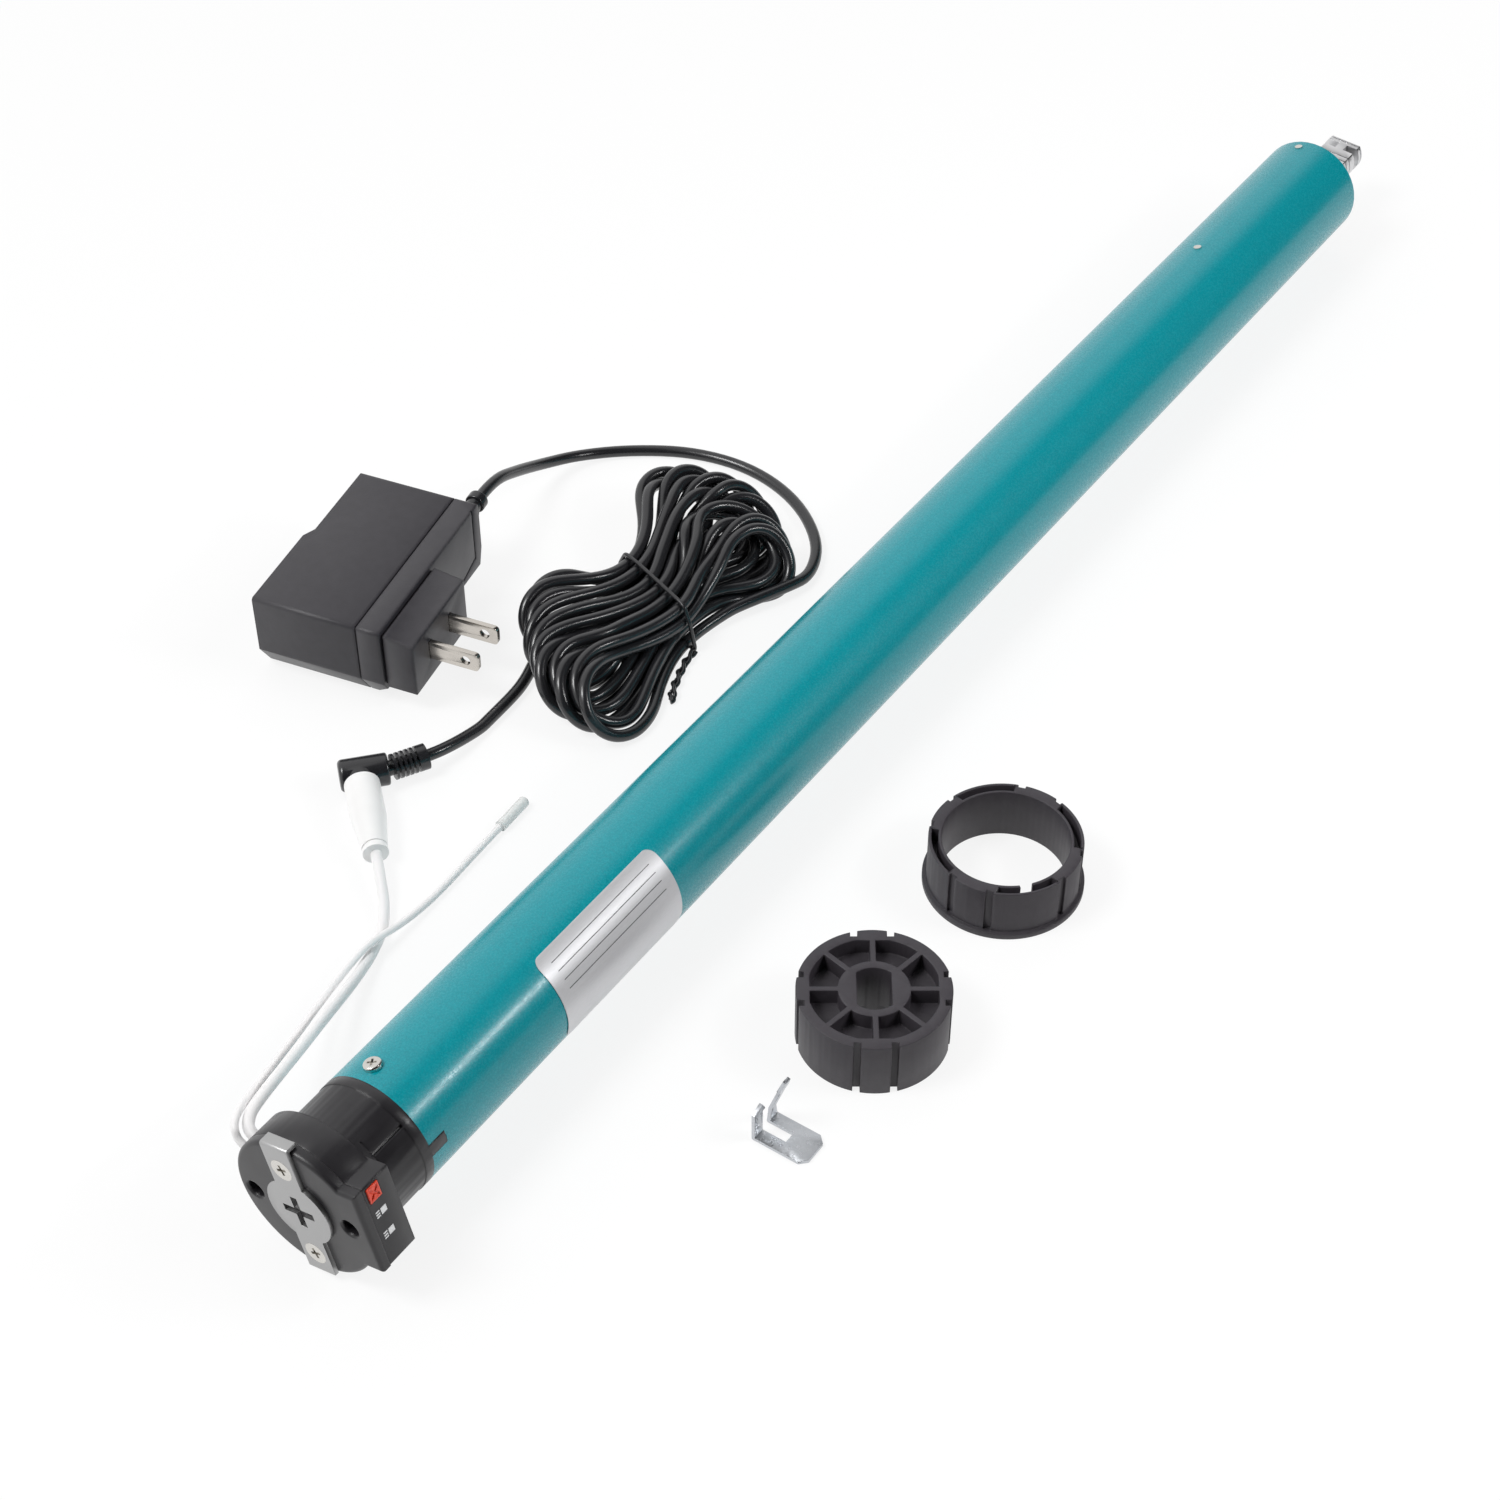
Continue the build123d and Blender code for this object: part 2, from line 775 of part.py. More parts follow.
def make_electronics():
    """Tray, all circuit boards, their larger parts and the cable from the head."""
    tray_bore = inner_radius - tray_wall
    with BuildPart() as board_tray:
        with BuildSketch(station(spigot_end)):
            Circle(inner_radius)
            Circle(tray_bore, mode=Mode.SUBTRACT)
            with Locations((0, -tray_rim_drop + inner_radius)):
                Rectangle(2 * inner_radius, 2 * inner_radius, mode=Mode.SUBTRACT)
        extrude(amount=tray_length)
        for start in (spigot_end, tray_end - tray_ring_length):
            with BuildSketch(station(start)):
                Circle(inner_radius)
                Circle(tray_bore, mode=Mode.SUBTRACT)
            extrude(amount=tray_ring_length)
    finish(board_tray, "board_tray")

    def standing(x):
        """Plane on the boards' upper face at x along the axis."""
        return outward(x, 90, board_top)

    with BuildPart() as circuit_boards:
        with BuildSketch(outward(cover_back, 180, head_board_offset)):
            with Locations(((collar_end - cavity_floor - cover_back) / 2, 0)):
                Rectangle(collar_end - cavity_floor - cover_back, 2 * head_board_half_height)
        extrude(amount=head_board_thickness)
        for start, length in ((control_start, control_board_length), (driver_start, driver_board_length)):
            with BuildSketch(station(start)):
                with Locations((0, board_top - board_thickness / 2)):
                    Rectangle(2 * board_half_width, board_thickness)
            extrude(amount=length)
        with BuildSketch(station(tray_end + encoder_board_inset)):
            Circle(damper_bore_radius)
        extrude(amount=encoder_board_thickness)
    finish(circuit_boards, "circuit_boards")

    with BuildPart() as board_parts:
        switch_base = button_plane().offset(board_face - lobe_reach)
        with BuildSketch(switch_base):
            Rectangle(switch_side, switch_side)
        extrude(amount=switch_height)
        with BuildSketch(switch_base.offset(switch_height)):
            Circle(plunger_radius)
        extrude(amount=plunger_height)
        with BuildSketch(standing(control_start + radio_size)):
            Rectangle(radio_size, radio_size)
        extrude(amount=radio_thickness / 2)
        with BuildSketch(standing(control_start + radio_size)):
            Rectangle(antenna_can_length, antenna_can_length)
        extrude(amount=radio_thickness)
        for first_chip, count in (
            (control_start + 2 * radio_size + chip_length, control_chips),
            (driver_start + radio_size + chip_length, driver_chips),
        ):
            for k in range(count):
                with BuildSketch(standing(first_chip + k * chip_pitch)):
                    Rectangle(chip_length, chip_width)
                extrude(amount=chip_height)
        for k in range(capacitor_count):
            with BuildSketch(station(capacitor_start + k * capacitor_pitch)):
                with Locations((0, board_top + capacitor_radius)):
                    Circle(capacitor_radius)
            extrude(amount=capacitor_length)
        for start in (control_start + control_board_length - terminal_length,
                      driver_start + driver_board_length - 2 * terminal_length):
            with BuildSketch(standing(start)):
                Rectangle(terminal_length, terminal_width)
            extrude(amount=terminal_height)
    finish(board_parts, "board_parts")

    with BuildPart() as head_cable:
        with BuildSketch(station(head_cable_start)):
            for k in range(cable_wires):
                with Locations((k * cable_pitch + wire_radius - head_board_offset, board_top + wire_radius)):
                    Circle(wire_radius)
        extrude(amount=head_cable_end - head_cable_start)
    finish(head_cable, "head_cable")


# Motor


def make_motor():
    """Brushed motor with its damper and encoder."""
    with BuildPart() as motor_damper:
        with BuildSketch(station(tray_end)):
            Circle(inner_radius)
            Circle(damper_bore_radius, mode=Mode.SUBTRACT)
        extrude(amount=damper_length)
    finish(motor_damper, "motor_damper")

    with BuildPart() as encoder_magnet:
        with BuildSketch(station(tray_end + encoder_magnet_inset)):
            Circle(encoder_magnet_radius)
            Circle(motor_shaft_radius, mode=Mode.SUBTRACT)
        extrude(amount=encoder_magnet_length)
    finish(encoder_magnet, "encoder_magnet")

    with BuildPart() as motor_end_cap:
        with BuildSketch(station(damper_end)):
            Circle(can_radius)
            Circle(bearing_radius, mode=Mode.SUBTRACT)
        extrude(amount=end_cap_length)
        brush_base = commutator_radius + running_gap + brush_length
        for side in (1, -1):
            with BuildSketch(station(can_start)):
                with Locations((side * (brush_base + brush_holder_depth / 2), 0)):
                    Rectangle(brush_holder_depth, brush_holder_width)
            extrude(amount=commutator_inset + commutator_length)
    finish(motor_end_cap, "motor_end_cap")

    with BuildPart() as motor_brushes:
        for side in (1, -1):
            with BuildSketch(station(can_start + commutator_inset + (commutator_length - brush_width) / 2)):
                with Locations((side * (commutator_radius + running_gap + brush_length / 2), 0)):
                    Rectangle(brush_length, brush_width)
            extrude(amount=brush_width)
    finish(motor_brushes, "motor_brushes")

    with BuildPart() as motor_can:
        with BuildSketch(station(can_start)):
            Circle(can_radius)
        extrude(amount=can_length)
        with BuildSketch(station(can_start)):
            Circle(can_radius - can_wall)
        extrude(amount=can_length - can_front_wall, mode=Mode.SUBTRACT)
        with BuildSketch(station(can_end - bearing_length)):
            Circle(bearing_radius + can_wall)
        extrude(amount=bearing_length)
        with BuildSketch(station(can_start)):
            Circle(bearing_radius)
        extrude(amount=can_length, mode=Mode.SUBTRACT)
        with BuildSketch(station(can_end)):
            with Locations((motor_screw_offset, 0), (-motor_screw_offset, 0)):
                Circle(motor_screw_radius)
        extrude(amount=-can_front_wall, mode=Mode.SUBTRACT)
    finish(motor_can, "motor_can")

    with BuildPart() as bearings:
        for start in (damper_end, can_end - bearing_length):
            with BuildSketch(station(start)):
                Circle(bearing_radius)
                Circle(motor_shaft_radius + running_gap, mode=Mode.SUBTRACT)
            extrude(amount=bearing_length)
        with BuildSketch(station(bush_start - washer_thickness)):
            Circle(washer_radius)
            Circle(journal_radius + running_gap, mode=Mode.SUBTRACT)
        extrude(amount=washer_thickness)
    finish(bearings, "bearings")

    magnet_radius = can_radius - can_wall
    magnet_bore = magnet_radius - motor_magnet_thickness
    with BuildPart() as motor_magnets:
        with BuildSketch(station(can_start + motor_magnet_inset)):
            Circle(magnet_radius)
            Circle(magnet_bore, mode=Mode.SUBTRACT)
            gap = magnet_bore * 2 * sine((180 - motor_magnet_angle) / 2)
            Rectangle(2 * can_radius, gap, mode=Mode.SUBTRACT)
        extrude(amount=motor_magnet_length)
    finish(motor_magnets, "motor_magnets")

    with BuildPart() as rotor_shaft:
        with BuildSketch(station(tray_end + encoder_magnet_inset)):
            Circle(motor_shaft_radius)
        extrude(amount=stage_1 - tray_end - encoder_magnet_inset)
        extrude(gear_sketch(station(stage_1), sun_teeth), amount=stage_width_1)
    finish(rotor_shaft, "rotor_shaft")

    core_radius = magnet_bore - armature_gap
    core_start = can_start + motor_magnet_inset + armature_margin
    core_length = motor_magnet_length - 2 * armature_margin
    with BuildPart() as armature_core:
        with BuildSketch(station(core_start)):
            Circle(core_radius)
            Circle(motor_shaft_radius, mode=Mode.SUBTRACT)
            with PolarLocations(core_radius - armature_slot_depth / 2, armature_slots):
                Rectangle(armature_slot_depth + overrun, armature_slot_width, mode=Mode.SUBTRACT)
        extrude(amount=core_length)
    finish(armature_core, "armature_core")

    with BuildPart() as armature_winding:
        for start in (core_start - winding_length, core_start + core_length):
            with BuildSketch(station(start)):
                Circle(winding_radius)
                Circle(winding_bore, mode=Mode.SUBTRACT)
            extrude(amount=winding_length)
        with BuildSketch(station(core_start)):
            middle = core_radius - (armature_slot_depth + armature_slot_width) / 2
            with PolarLocations(middle, armature_slots):
                Rectangle(armature_slot_depth - armature_slot_width, armature_slot_width)
        extrude(amount=core_length)
    finish(armature_winding, "armature_winding")

    with BuildPart() as commutator:
        with BuildSketch(station(can_start + commutator_inset)):
            Circle(commutator_radius)
            Circle(motor_shaft_radius, mode=Mode.SUBTRACT)
        extrude(amount=core_start - winding_length - can_start - commutator_inset)
    finish(commutator, "commutator")


# Gearbox


def involute(angle):
    """Involute function of an angle in radians."""
    return math.tan(angle) - angle


def half_tooth(teeth, radius, backlash):
    """Half the angle that a tooth of involute flanks covers at a radius, in degrees."""
    pitch_radius = gear_module * teeth / 2
    pressure = math.radians(pressure_angle)
    base = pitch_radius * math.cos(pressure)
    at_radius = math.acos(min(1, base / radius))
    half = math.pi / teeth / 2 + involute(pressure) - involute(at_radius)
    return math.degrees(half - backlash / pitch_radius / 2)


def teeth_points(teeth, foot, tip, backlash, phase):
    """Corners of straight-flanked teeth whose flanks start and end on the involute."""
    points = []
    for k in range(teeth):
        middle = phase + k * 360 / teeth
        for radius, side in ((foot, -1), (tip, -1), (tip, 1), (foot, 1)):
            angle = middle + side * half_tooth(teeth, radius, backlash)
            points.append((radius * cosine(angle), radius * sine(angle)))
    return points


def gear_sketch(place, teeth, bore=0, phase=0):
    """Sketch of an outward-toothed gear with a round bore."""
    pitch_radius = gear_module * teeth / 2
    foot = pitch_radius - gear_module * dedendum_share
    tip = pitch_radius + gear_module * addendum_share
    with BuildSketch(place) as gear:
        with BuildLine():
            Polyline(*teeth_points(teeth, foot, tip, gear_backlash / 2, phase), close=True)
        make_face()
        if bore:
            Circle(bore, mode=Mode.SUBTRACT)
    return gear.sketch


def pin_sketch(x):
    """Sketch of a carrier's three planet pins."""
    with BuildSketch(station(x)) as pins:
        with PolarLocations(gear_centres, planet_count):
            Circle(pin_radius)
    return pins.sketch


def make_carrier(name, stage, width, disc, thickness, next_width):
    """Planet carrier: pins, disc and the next stage's sun."""
    with BuildPart() as carrier:
        extrude(pin_sketch(stage), amount=width + face_gap)
        with BuildSketch(station(disc)):
            Circle(carrier_radius)
        extrude(amount=thickness)
        extrude(gear_sketch(station(disc + thickness), sun_teeth), amount=next_width + face_gap)
    finish(carrier, name)


def make_planets(number, stage, width):
    """The planets of a stage, each turned so that a gap between teeth faces the sun."""
    for k in range(planet_count):
        turn = k * 360 / planet_count
        centre = station(stage).from_local_coords((gear_centres * cosine(turn), gear_centres * sine(turn), 0))
        place = Plane(origin=centre, x_dir=station(0).x_dir, z_dir=(1, 0, 0))
        with BuildPart() as planet:
            teeth = gear_sketch(place, planet_teeth, pin_radius + running_gap, turn + 180 / planet_teeth)
            extrude(teeth, amount=width)
        finish(planet, f"planet_{number}_{k + 1}")


def motor_screw_pair():
    """Two screws that hold the motor's can to the gearbox's flange."""
    with BuildPart() as motor_screws:
        head_start = gear_start - motor_screw_head_length
        extrude(two_rounds(head_start, motor_screw_offset, 0, motor_screw_head_radius),
                amount=motor_screw_head_length)
        extrude(two_rounds(can_end - can_front_wall, motor_screw_offset, 0, motor_screw_radius),
                amount=can_front_wall + gear_flange_length - motor_screw_head_length)
    return motor_screws.part


def make_screws():
    """The bracket plate's two screws, the tube's screw and the motor's two screws."""
    with BuildPart() as screws:
        add(plate_screw_pair())
        add(tube_screw_piece())
        add(motor_screw_pair())
    finish(screws, "screws")


def make_gearbox():
    """Flange, toothed housing and the planets and carriers of three stages."""
    with BuildPart() as gear_flange:
        with BuildSketch(station(can_end)):
            Circle(inner_radius)
            Circle(gear_flange_bore, mode=Mode.SUBTRACT)
            with Locations((motor_screw_offset, 0), (-motor_screw_offset, 0)):
                Circle(motor_screw_radius, mode=Mode.SUBTRACT)
        extrude(amount=gear_flange_length)
        with BuildSketch(station(gear_start)):
            with Locations((motor_screw_offset, 0), (-motor_screw_offset, 0)):
                Circle(motor_screw_head_radius)
        extrude(amount=-motor_screw_head_length, mode=Mode.SUBTRACT)
    finish(gear_flange, "gear_flange")

    with BuildPart() as gear_housing:
        with BuildSketch(station(gear_start)):
            Circle(inner_radius)
        extrude(amount=bush_start - gear_start)
        pitch_radius = gear_module * ring_teeth / 2
        with BuildSketch(station(gear_start)):
            tip = pitch_radius - gear_module * addendum_share
            foot = pitch_radius + gear_module * dedendum_share
            with BuildLine():
                Polyline(*teeth_points(ring_teeth, tip, foot, -gear_backlash, 180 / ring_teeth), close=True)
            make_face()
        extrude(amount=bush_start - gear_start, mode=Mode.SUBTRACT)
        with BuildSketch(outward(tube_end - rivet_near_inset, 90, tube_radius - rivet_length)):
            Circle(rivet_shank_radius)
        extrude(amount=rivet_length, mode=Mode.SUBTRACT)
    finish(gear_housing, "gear_housing")

    make_planets(1, stage_1, stage_width_1)
    make_carrier("carrier_1", stage_1, stage_width_1, disc_1, carrier_thickness_1, stage_width_2)
    make_planets(2, stage_2, stage_width_2)
    make_carrier("carrier_2", stage_2, stage_width_2, disc_2, carrier_thickness_2, stage_width_3)
    make_planets(3, stage_3, stage_width_3)


def make_output():
    """Output carrier with its double-D shaft, and the bush that carries it."""
    with BuildPart() as output_shaft:
        extrude(pin_sketch(stage_3), amount=stage_width_3 + face_gap)
        with BuildSketch(station(disc_3)):
            Circle(carrier_radius)
        extrude(amount=carrier_thickness_3)
        with BuildSketch(station(disc_3_end)):
            Circle(journal_radius)
        extrude(amount=tube_end + shaft_collar_reach - disc_3_end)
        with BuildSketch(station(tube_end, shaft_tilt)):
            Circle(shaft_radius)
            Rectangle(2 * shaft_radius, shaft_across_flats, mode=Mode.INTERSECT)
        extrude(amount=shaft_reach)
        chamfer(output_shaft.faces().sort_by(Axis.X)[-1].edges(), shaft_chamfer)
        slot_middle = shaft_end - neck_slot_inset - neck_slot_width / 2
        for side in (1, -1):
            with BuildSketch(station(slot_middle - neck_slot_width / 2, shaft_tilt)):
                with Locations((side * (neck_width / 2 + shaft_radius / 2), 0)):
                    Rectangle(shaft_radius, 2 * shaft_radius)
            extrude(amount=neck_slot_width, mode=Mode.SUBTRACT)
        for inset in shaft_line_insets:
            with BuildSketch(station(shaft_end - inset - shaft_line_width, shaft_tilt)):
                Circle(shaft_radius + overrun)
                core_height = shaft_across_flats - 2 * shaft_line_depth
                with BuildLine():
                    reach = math.sqrt((shaft_radius - shaft_line_depth) ** 2 - core_height**2 / 4)
                    half = core_height / 2
                    side = shaft_radius - shaft_line_depth
                    Line((-reach, half), (reach, half))
                    ThreePointArc((reach, half), (side, 0), (reach, -half))
                    Line((reach, -half), (-reach, -half))
                    ThreePointArc((-reach, -half), (-side, 0), (-reach, half))
                make_face(mode=Mode.SUBTRACT)
            extrude(amount=shaft_line_width, mode=Mode.SUBTRACT)
    finish(output_shaft, "output_shaft")

    with BuildPart() as end_bush:
        with BuildSketch(station(bush_start)):
            Circle(inner_radius)
            Circle(journal_radius + running_gap, mode=Mode.SUBTRACT)
        extrude(amount=tube_end - bush_start)
        with BuildSketch(outward(tube_end - rivet_far_inset, 90, tube_radius - rivet_length)):
            Circle(rivet_shank_radius)
        extrude(amount=rivet_length, mode=Mode.SUBTRACT)
    finish(end_bush, "end_bush")


# Loose drive pieces


def make_drive_wheel():
    """Spoked drive wheel with a web, a double-D bore, a pocket for the clip and grooves in its rim."""
    with BuildPart() as drive_wheel:
        with BuildSketch(on_floor(wheel_x, wheel_y, wheel_turn)):
            Circle(wheel_radius)
            Circle(wheel_rim_bore, mode=Mode.SUBTRACT)
            Circle(wheel_hub_radius)
            reach = (wheel_hub_radius + wheel_rim_bore) / 2
            with PolarLocations(reach, wheel_spokes):
                Rectangle(wheel_rim_bore - wheel_hub_radius + overrun, wheel_spoke_width)
            pad_outer = wheel_rim_bore + wheel_pad_overlap
            with PolarLocations((wheel_pad_bore + pad_outer) / 2, wheel_groove_pairs):
                Rectangle(pad_outer - wheel_pad_bore, wheel_pad_width)
            rim_x = math.sqrt(wheel_radius**2 - wheel_groove_offset**2)
            groove_x = rim_x + (overrun - wheel_groove_depth) / 2
            for k in range(wheel_groove_pairs):
                with Locations(Rotation(0, 0, k * 360 / wheel_groove_pairs)):
                    with Locations((groove_x, wheel_groove_offset), (groove_x, -wheel_groove_offset)):
                        Rectangle(wheel_groove_depth + overrun, wheel_groove_width, mode=Mode.SUBTRACT)
        extrude(amount=wheel_height)
        web_top = floor_z + wheel_height - wheel_web_depth
        with BuildSketch(on_floor(wheel_x, wheel_y, wheel_turn, web_top)):
            Circle(wheel_rim_bore + wheel_pad_overlap)
            Circle(wheel_hub_radius - wheel_pad_overlap, mode=Mode.SUBTRACT)
        extrude(amount=-wheel_web_thickness)
        with BuildSketch(on_floor(wheel_x, wheel_y, wheel_turn)):
            Circle(shaft_radius + wheel_bore_gap)
            Rectangle(2 * shaft_radius + overrun, shaft_across_flats + wheel_bore_gap, mode=Mode.INTERSECT)
        extrude(amount=wheel_height, mode=Mode.SUBTRACT)
        with BuildSketch(on_floor(wheel_x, wheel_y, wheel_turn)):
            Rectangle(2 * shaft_radius, shaft_across_flats + 2 * wheel_ledge_lap)
        extrude(amount=wheel_ledge_depth, mode=Mode.SUBTRACT)
    finish(drive_wheel, "drive_wheel")


def crown_middle(k):
    """Angle of the middle of the crown ring's k-th pair of notches."""
    return crown_pair_angle + k * 360 / crown_pairs


def make_crown_ring():
    """Crown ring for the head's collar: a flange, four pairs of notches and a pocketed rim."""
    crown_bore = collar_radius + crown_bore_gap
    top = floor_z + crown_height
    with BuildPart() as crown_ring:
        with BuildSketch(on_floor(crown_x, crown_y, crown_turn)):
            Circle(crown_radius)
            Circle(crown_bore, mode=Mode.SUBTRACT)
            for side in (1, -1):
                for k in range(crown_pairs):
                    with Locations(Rotation(0, 0, crown_middle(k) + side * crown_notch_offset)):
                        with Locations((crown_radius, 0)):
                            Rectangle(2 * crown_wall, crown_notch_width, mode=Mode.SUBTRACT)
        extrude(amount=crown_height)
        with BuildSketch(on_floor(crown_x, crown_y, crown_turn)):
            Circle(crown_flange_radius)
            Circle(crown_bore, mode=Mode.SUBTRACT)
        extrude(amount=crown_flange_height)
        with BuildSketch(on_floor(crown_x, crown_y, crown_turn, top)):
            Circle(crown_radius - crown_wall)
            Circle(crown_bore + crown_wall, mode=Mode.SUBTRACT)
            for k in range(crown_pairs):
                with Locations(Rotation(0, 0, crown_middle(k))):
                    with Locations((crown_radius, 0)):
                        Rectangle(crown_radius / 2, crown_block_width + 2 * crown_wall, mode=Mode.SUBTRACT)
                for side in (1, -1):
                    with Locations(Rotation(0, 0, crown_middle(k) + side * crown_notch_offset)):
                        with Locations((crown_radius, 0)):
                            Rectangle(crown_radius / 2, crown_notch_width + 2 * crown_wall, mode=Mode.SUBTRACT)
        extrude(amount=-crown_web_depth, mode=Mode.SUBTRACT)
        with BuildSketch(on_floor(crown_x, crown_y, crown_turn + crown_key_angle, top)):
            with Locations((crown_bore + crown_wall / 2, 0)):
                Rectangle(2 * crown_wall, crown_key_width)
        extrude(amount=-crown_key_depth, mode=Mode.SUBTRACT)
    finish(crown_ring, "crown_ring")


def make_retaining_clip():
    """Bent sheet clip with a fork, an arrow-headed finger and a hooked lug."""
    width = clip_x1 - clip_x0
    middle = (clip_x0 + clip_x1) / 2
    slot = neck_width + clip_slot_gap
    leg = (width - slot) / 2
    with BuildPart() as retaining_clip:
        with BuildSketch(Plane.XY.offset(floor_z)) as blank:
            with Locations((middle, (clip_y0 + clip_y1) / 2)):
                Rectangle(width, clip_y1 - clip_y0)
            near = blank.vertices().group_by(Axis.Y)[0]
            with Locations((middle, clip_y1 - clip_slot_depth / 2)):
                Rectangle(slot, clip_slot_depth, mode=Mode.SUBTRACT)
            chamfer(near, clip_corner)
        extrude(amount=clip_thickness)
        with BuildSketch(Plane(origin=(0, clip_y1, 0), x_dir=(1, 0, 0), z_dir=(0, -1, 0))):
            finger = clip_x1 - leg / 2
            kink = floor_z + clip_finger_kink
            with BuildLine():
                Polyline(
                    (clip_x1 - leg, floor_z),
                    (clip_x1, floor_z),
                    (finger + clip_finger_width / 2, kink),
                    (finger - clip_finger_width / 2, kink),
                    close=True,
                )
            make_face()
            with BuildLine():
                hook = floor_z + clip_hook_height
                Polyline(
                    (clip_x0, floor_z),
                    (clip_x0 + leg, floor_z),
                    (clip_x0 + leg, hook - clip_hook_reach),
                    (clip_x0 + leg + clip_hook_reach / 2, hook - clip_hook_reach),
                    (clip_x0 + leg, hook),
                    (clip_x0, hook - clip_hook_reach / 2),
                    close=True,
                )
            make_face()
        extrude(amount=clip_thickness)
        leaning = (0, -cosine(clip_finger_lean), -sine(clip_finger_lean))
        with BuildSketch(Plane(origin=(0, clip_y1, kink), x_dir=(1, 0, 0), z_dir=leaning)):
            with BuildLine():
                low = clip_finger_length - clip_arrow_height
                Polyline(
                    (finger - clip_finger_width / 2, 0),
                    (finger + clip_finger_width / 2, 0),
                    (finger + clip_finger_width / 2, low),
                    (finger + clip_arrow_width / 2, low + clip_finger_width / 2),
                    (finger + clip_finger_width / 2, clip_finger_length),
                    (finger - clip_finger_width / 2, clip_finger_length),
                    (finger - clip_arrow_width / 2, low + clip_finger_width / 2),
                    (finger - clip_finger_width / 2, low),
                    close=True,
                )
            make_face()
        extrude(amount=clip_thickness)
        corner = retaining_clip.edges().filter_by(Axis.X).sort_by(Axis.Y)
        fillet(corner.filter_by(lambda e: on_outer_bend(e)), clip_bend_radius)
    finish(retaining_clip, "retaining_clip")


def on_outer_bend(edge):
    """Is an edge the outer corner between the clip's plate and its legs?"""
    middle = edge.center()
    return abs(middle.Y - clip_y1) < slide_gap and abs(middle.Z - floor_z) < slide_gap


# Mains adapter


def adapter_plane(along=0, back=0, up=0, x_dir=(1, 0, 0), z_dir=(0, 0, 1)):
    """A plane in the adapter's frame: along its length, back from its blades' face, up from the floor."""
    base = on_floor(adapter_x, adapter_y, adapter_turn)
    origin = base.from_local_coords((along, back, up))
    x_axis = base.from_local_coords(Vector(*x_dir)) - base.origin
    z_axis = base.from_local_coords(Vector(*z_dir)) - base.origin
    return Plane(origin=origin, x_dir=x_axis, z_dir=z_axis)


def front_profile(back, to_end):
    """Sketch of the adapter seen on its blades' side, bevelled at both lower corners, up to an end."""
    with BuildSketch(adapter_plane(back=back, z_dir=(0, -1, 0))) as profile:
        with BuildLine():
            Polyline(
                (near_bevel_length, 0),
                (adapter_length - cord_bevel_length, 0),
                (adapter_length, cord_bevel_height),
                (adapter_length, adapter_height),
                (0, adapter_height),
                (0, near_bevel_height),
                close=True,
            )
        make_face()
        with Locations((to_end + adapter_length / 2, adapter_height / 2)):
            Rectangle(adapter_length, 2 * adapter_height, mode=Mode.SUBTRACT)
    return profile.sketch


def adapter_envelope():
    """The adapter's outer block, with its stepped back and bevelled foot."""
    with BuildPart() as envelope:
        extrude(front_profile(0, adapter_length), amount=-adapter_depth)
        extrude(front_profile(adapter_depth, adapter_step_place), amount=-adapter_step_depth)
        with BuildSketch(adapter_plane(adapter_step_place, adapter_depth)):
            with BuildLine():
                Polyline((0, 0), (adapter_step_slope, 0), (0, adapter_step_depth), close=True)
            make_face()
        extrude(amount=adapter_height)
        with BuildSketch(adapter_plane(x_dir=(0, 1, 0), z_dir=(1, 0, 0))):
            with BuildLine():
                Polyline((0, 0), (front_bevel_depth, 0), (0, front_bevel_height), close=True)
            make_face()
        extrude(amount=adapter_length, mode=Mode.SUBTRACT)
        top_edges = envelope.edges().filter_by(
            lambda e: abs((e % 0).dot(adapter_plane().y_dir)) > 1 - running_gap
            and e.center().Z > floor_z + adapter_height - running_gap
        )
        fillet(top_edges, adapter_edge_radius)
    return envelope.part


def seam_groove():
    """Shallow groove round the adapter where its two shells meet."""
    outline = front_profile(adapter_seam - adapter_seam_width, adapter_length)
    with BuildPart() as groove:
        extrude(outline, amount=-adapter_seam_width)
        inside = offset(outline, amount=-adapter_seam_depth, mode=Mode.PRIVATE)
        extrude(inside, amount=-adapter_seam_width, mode=Mode.SUBTRACT)
    return groove.part


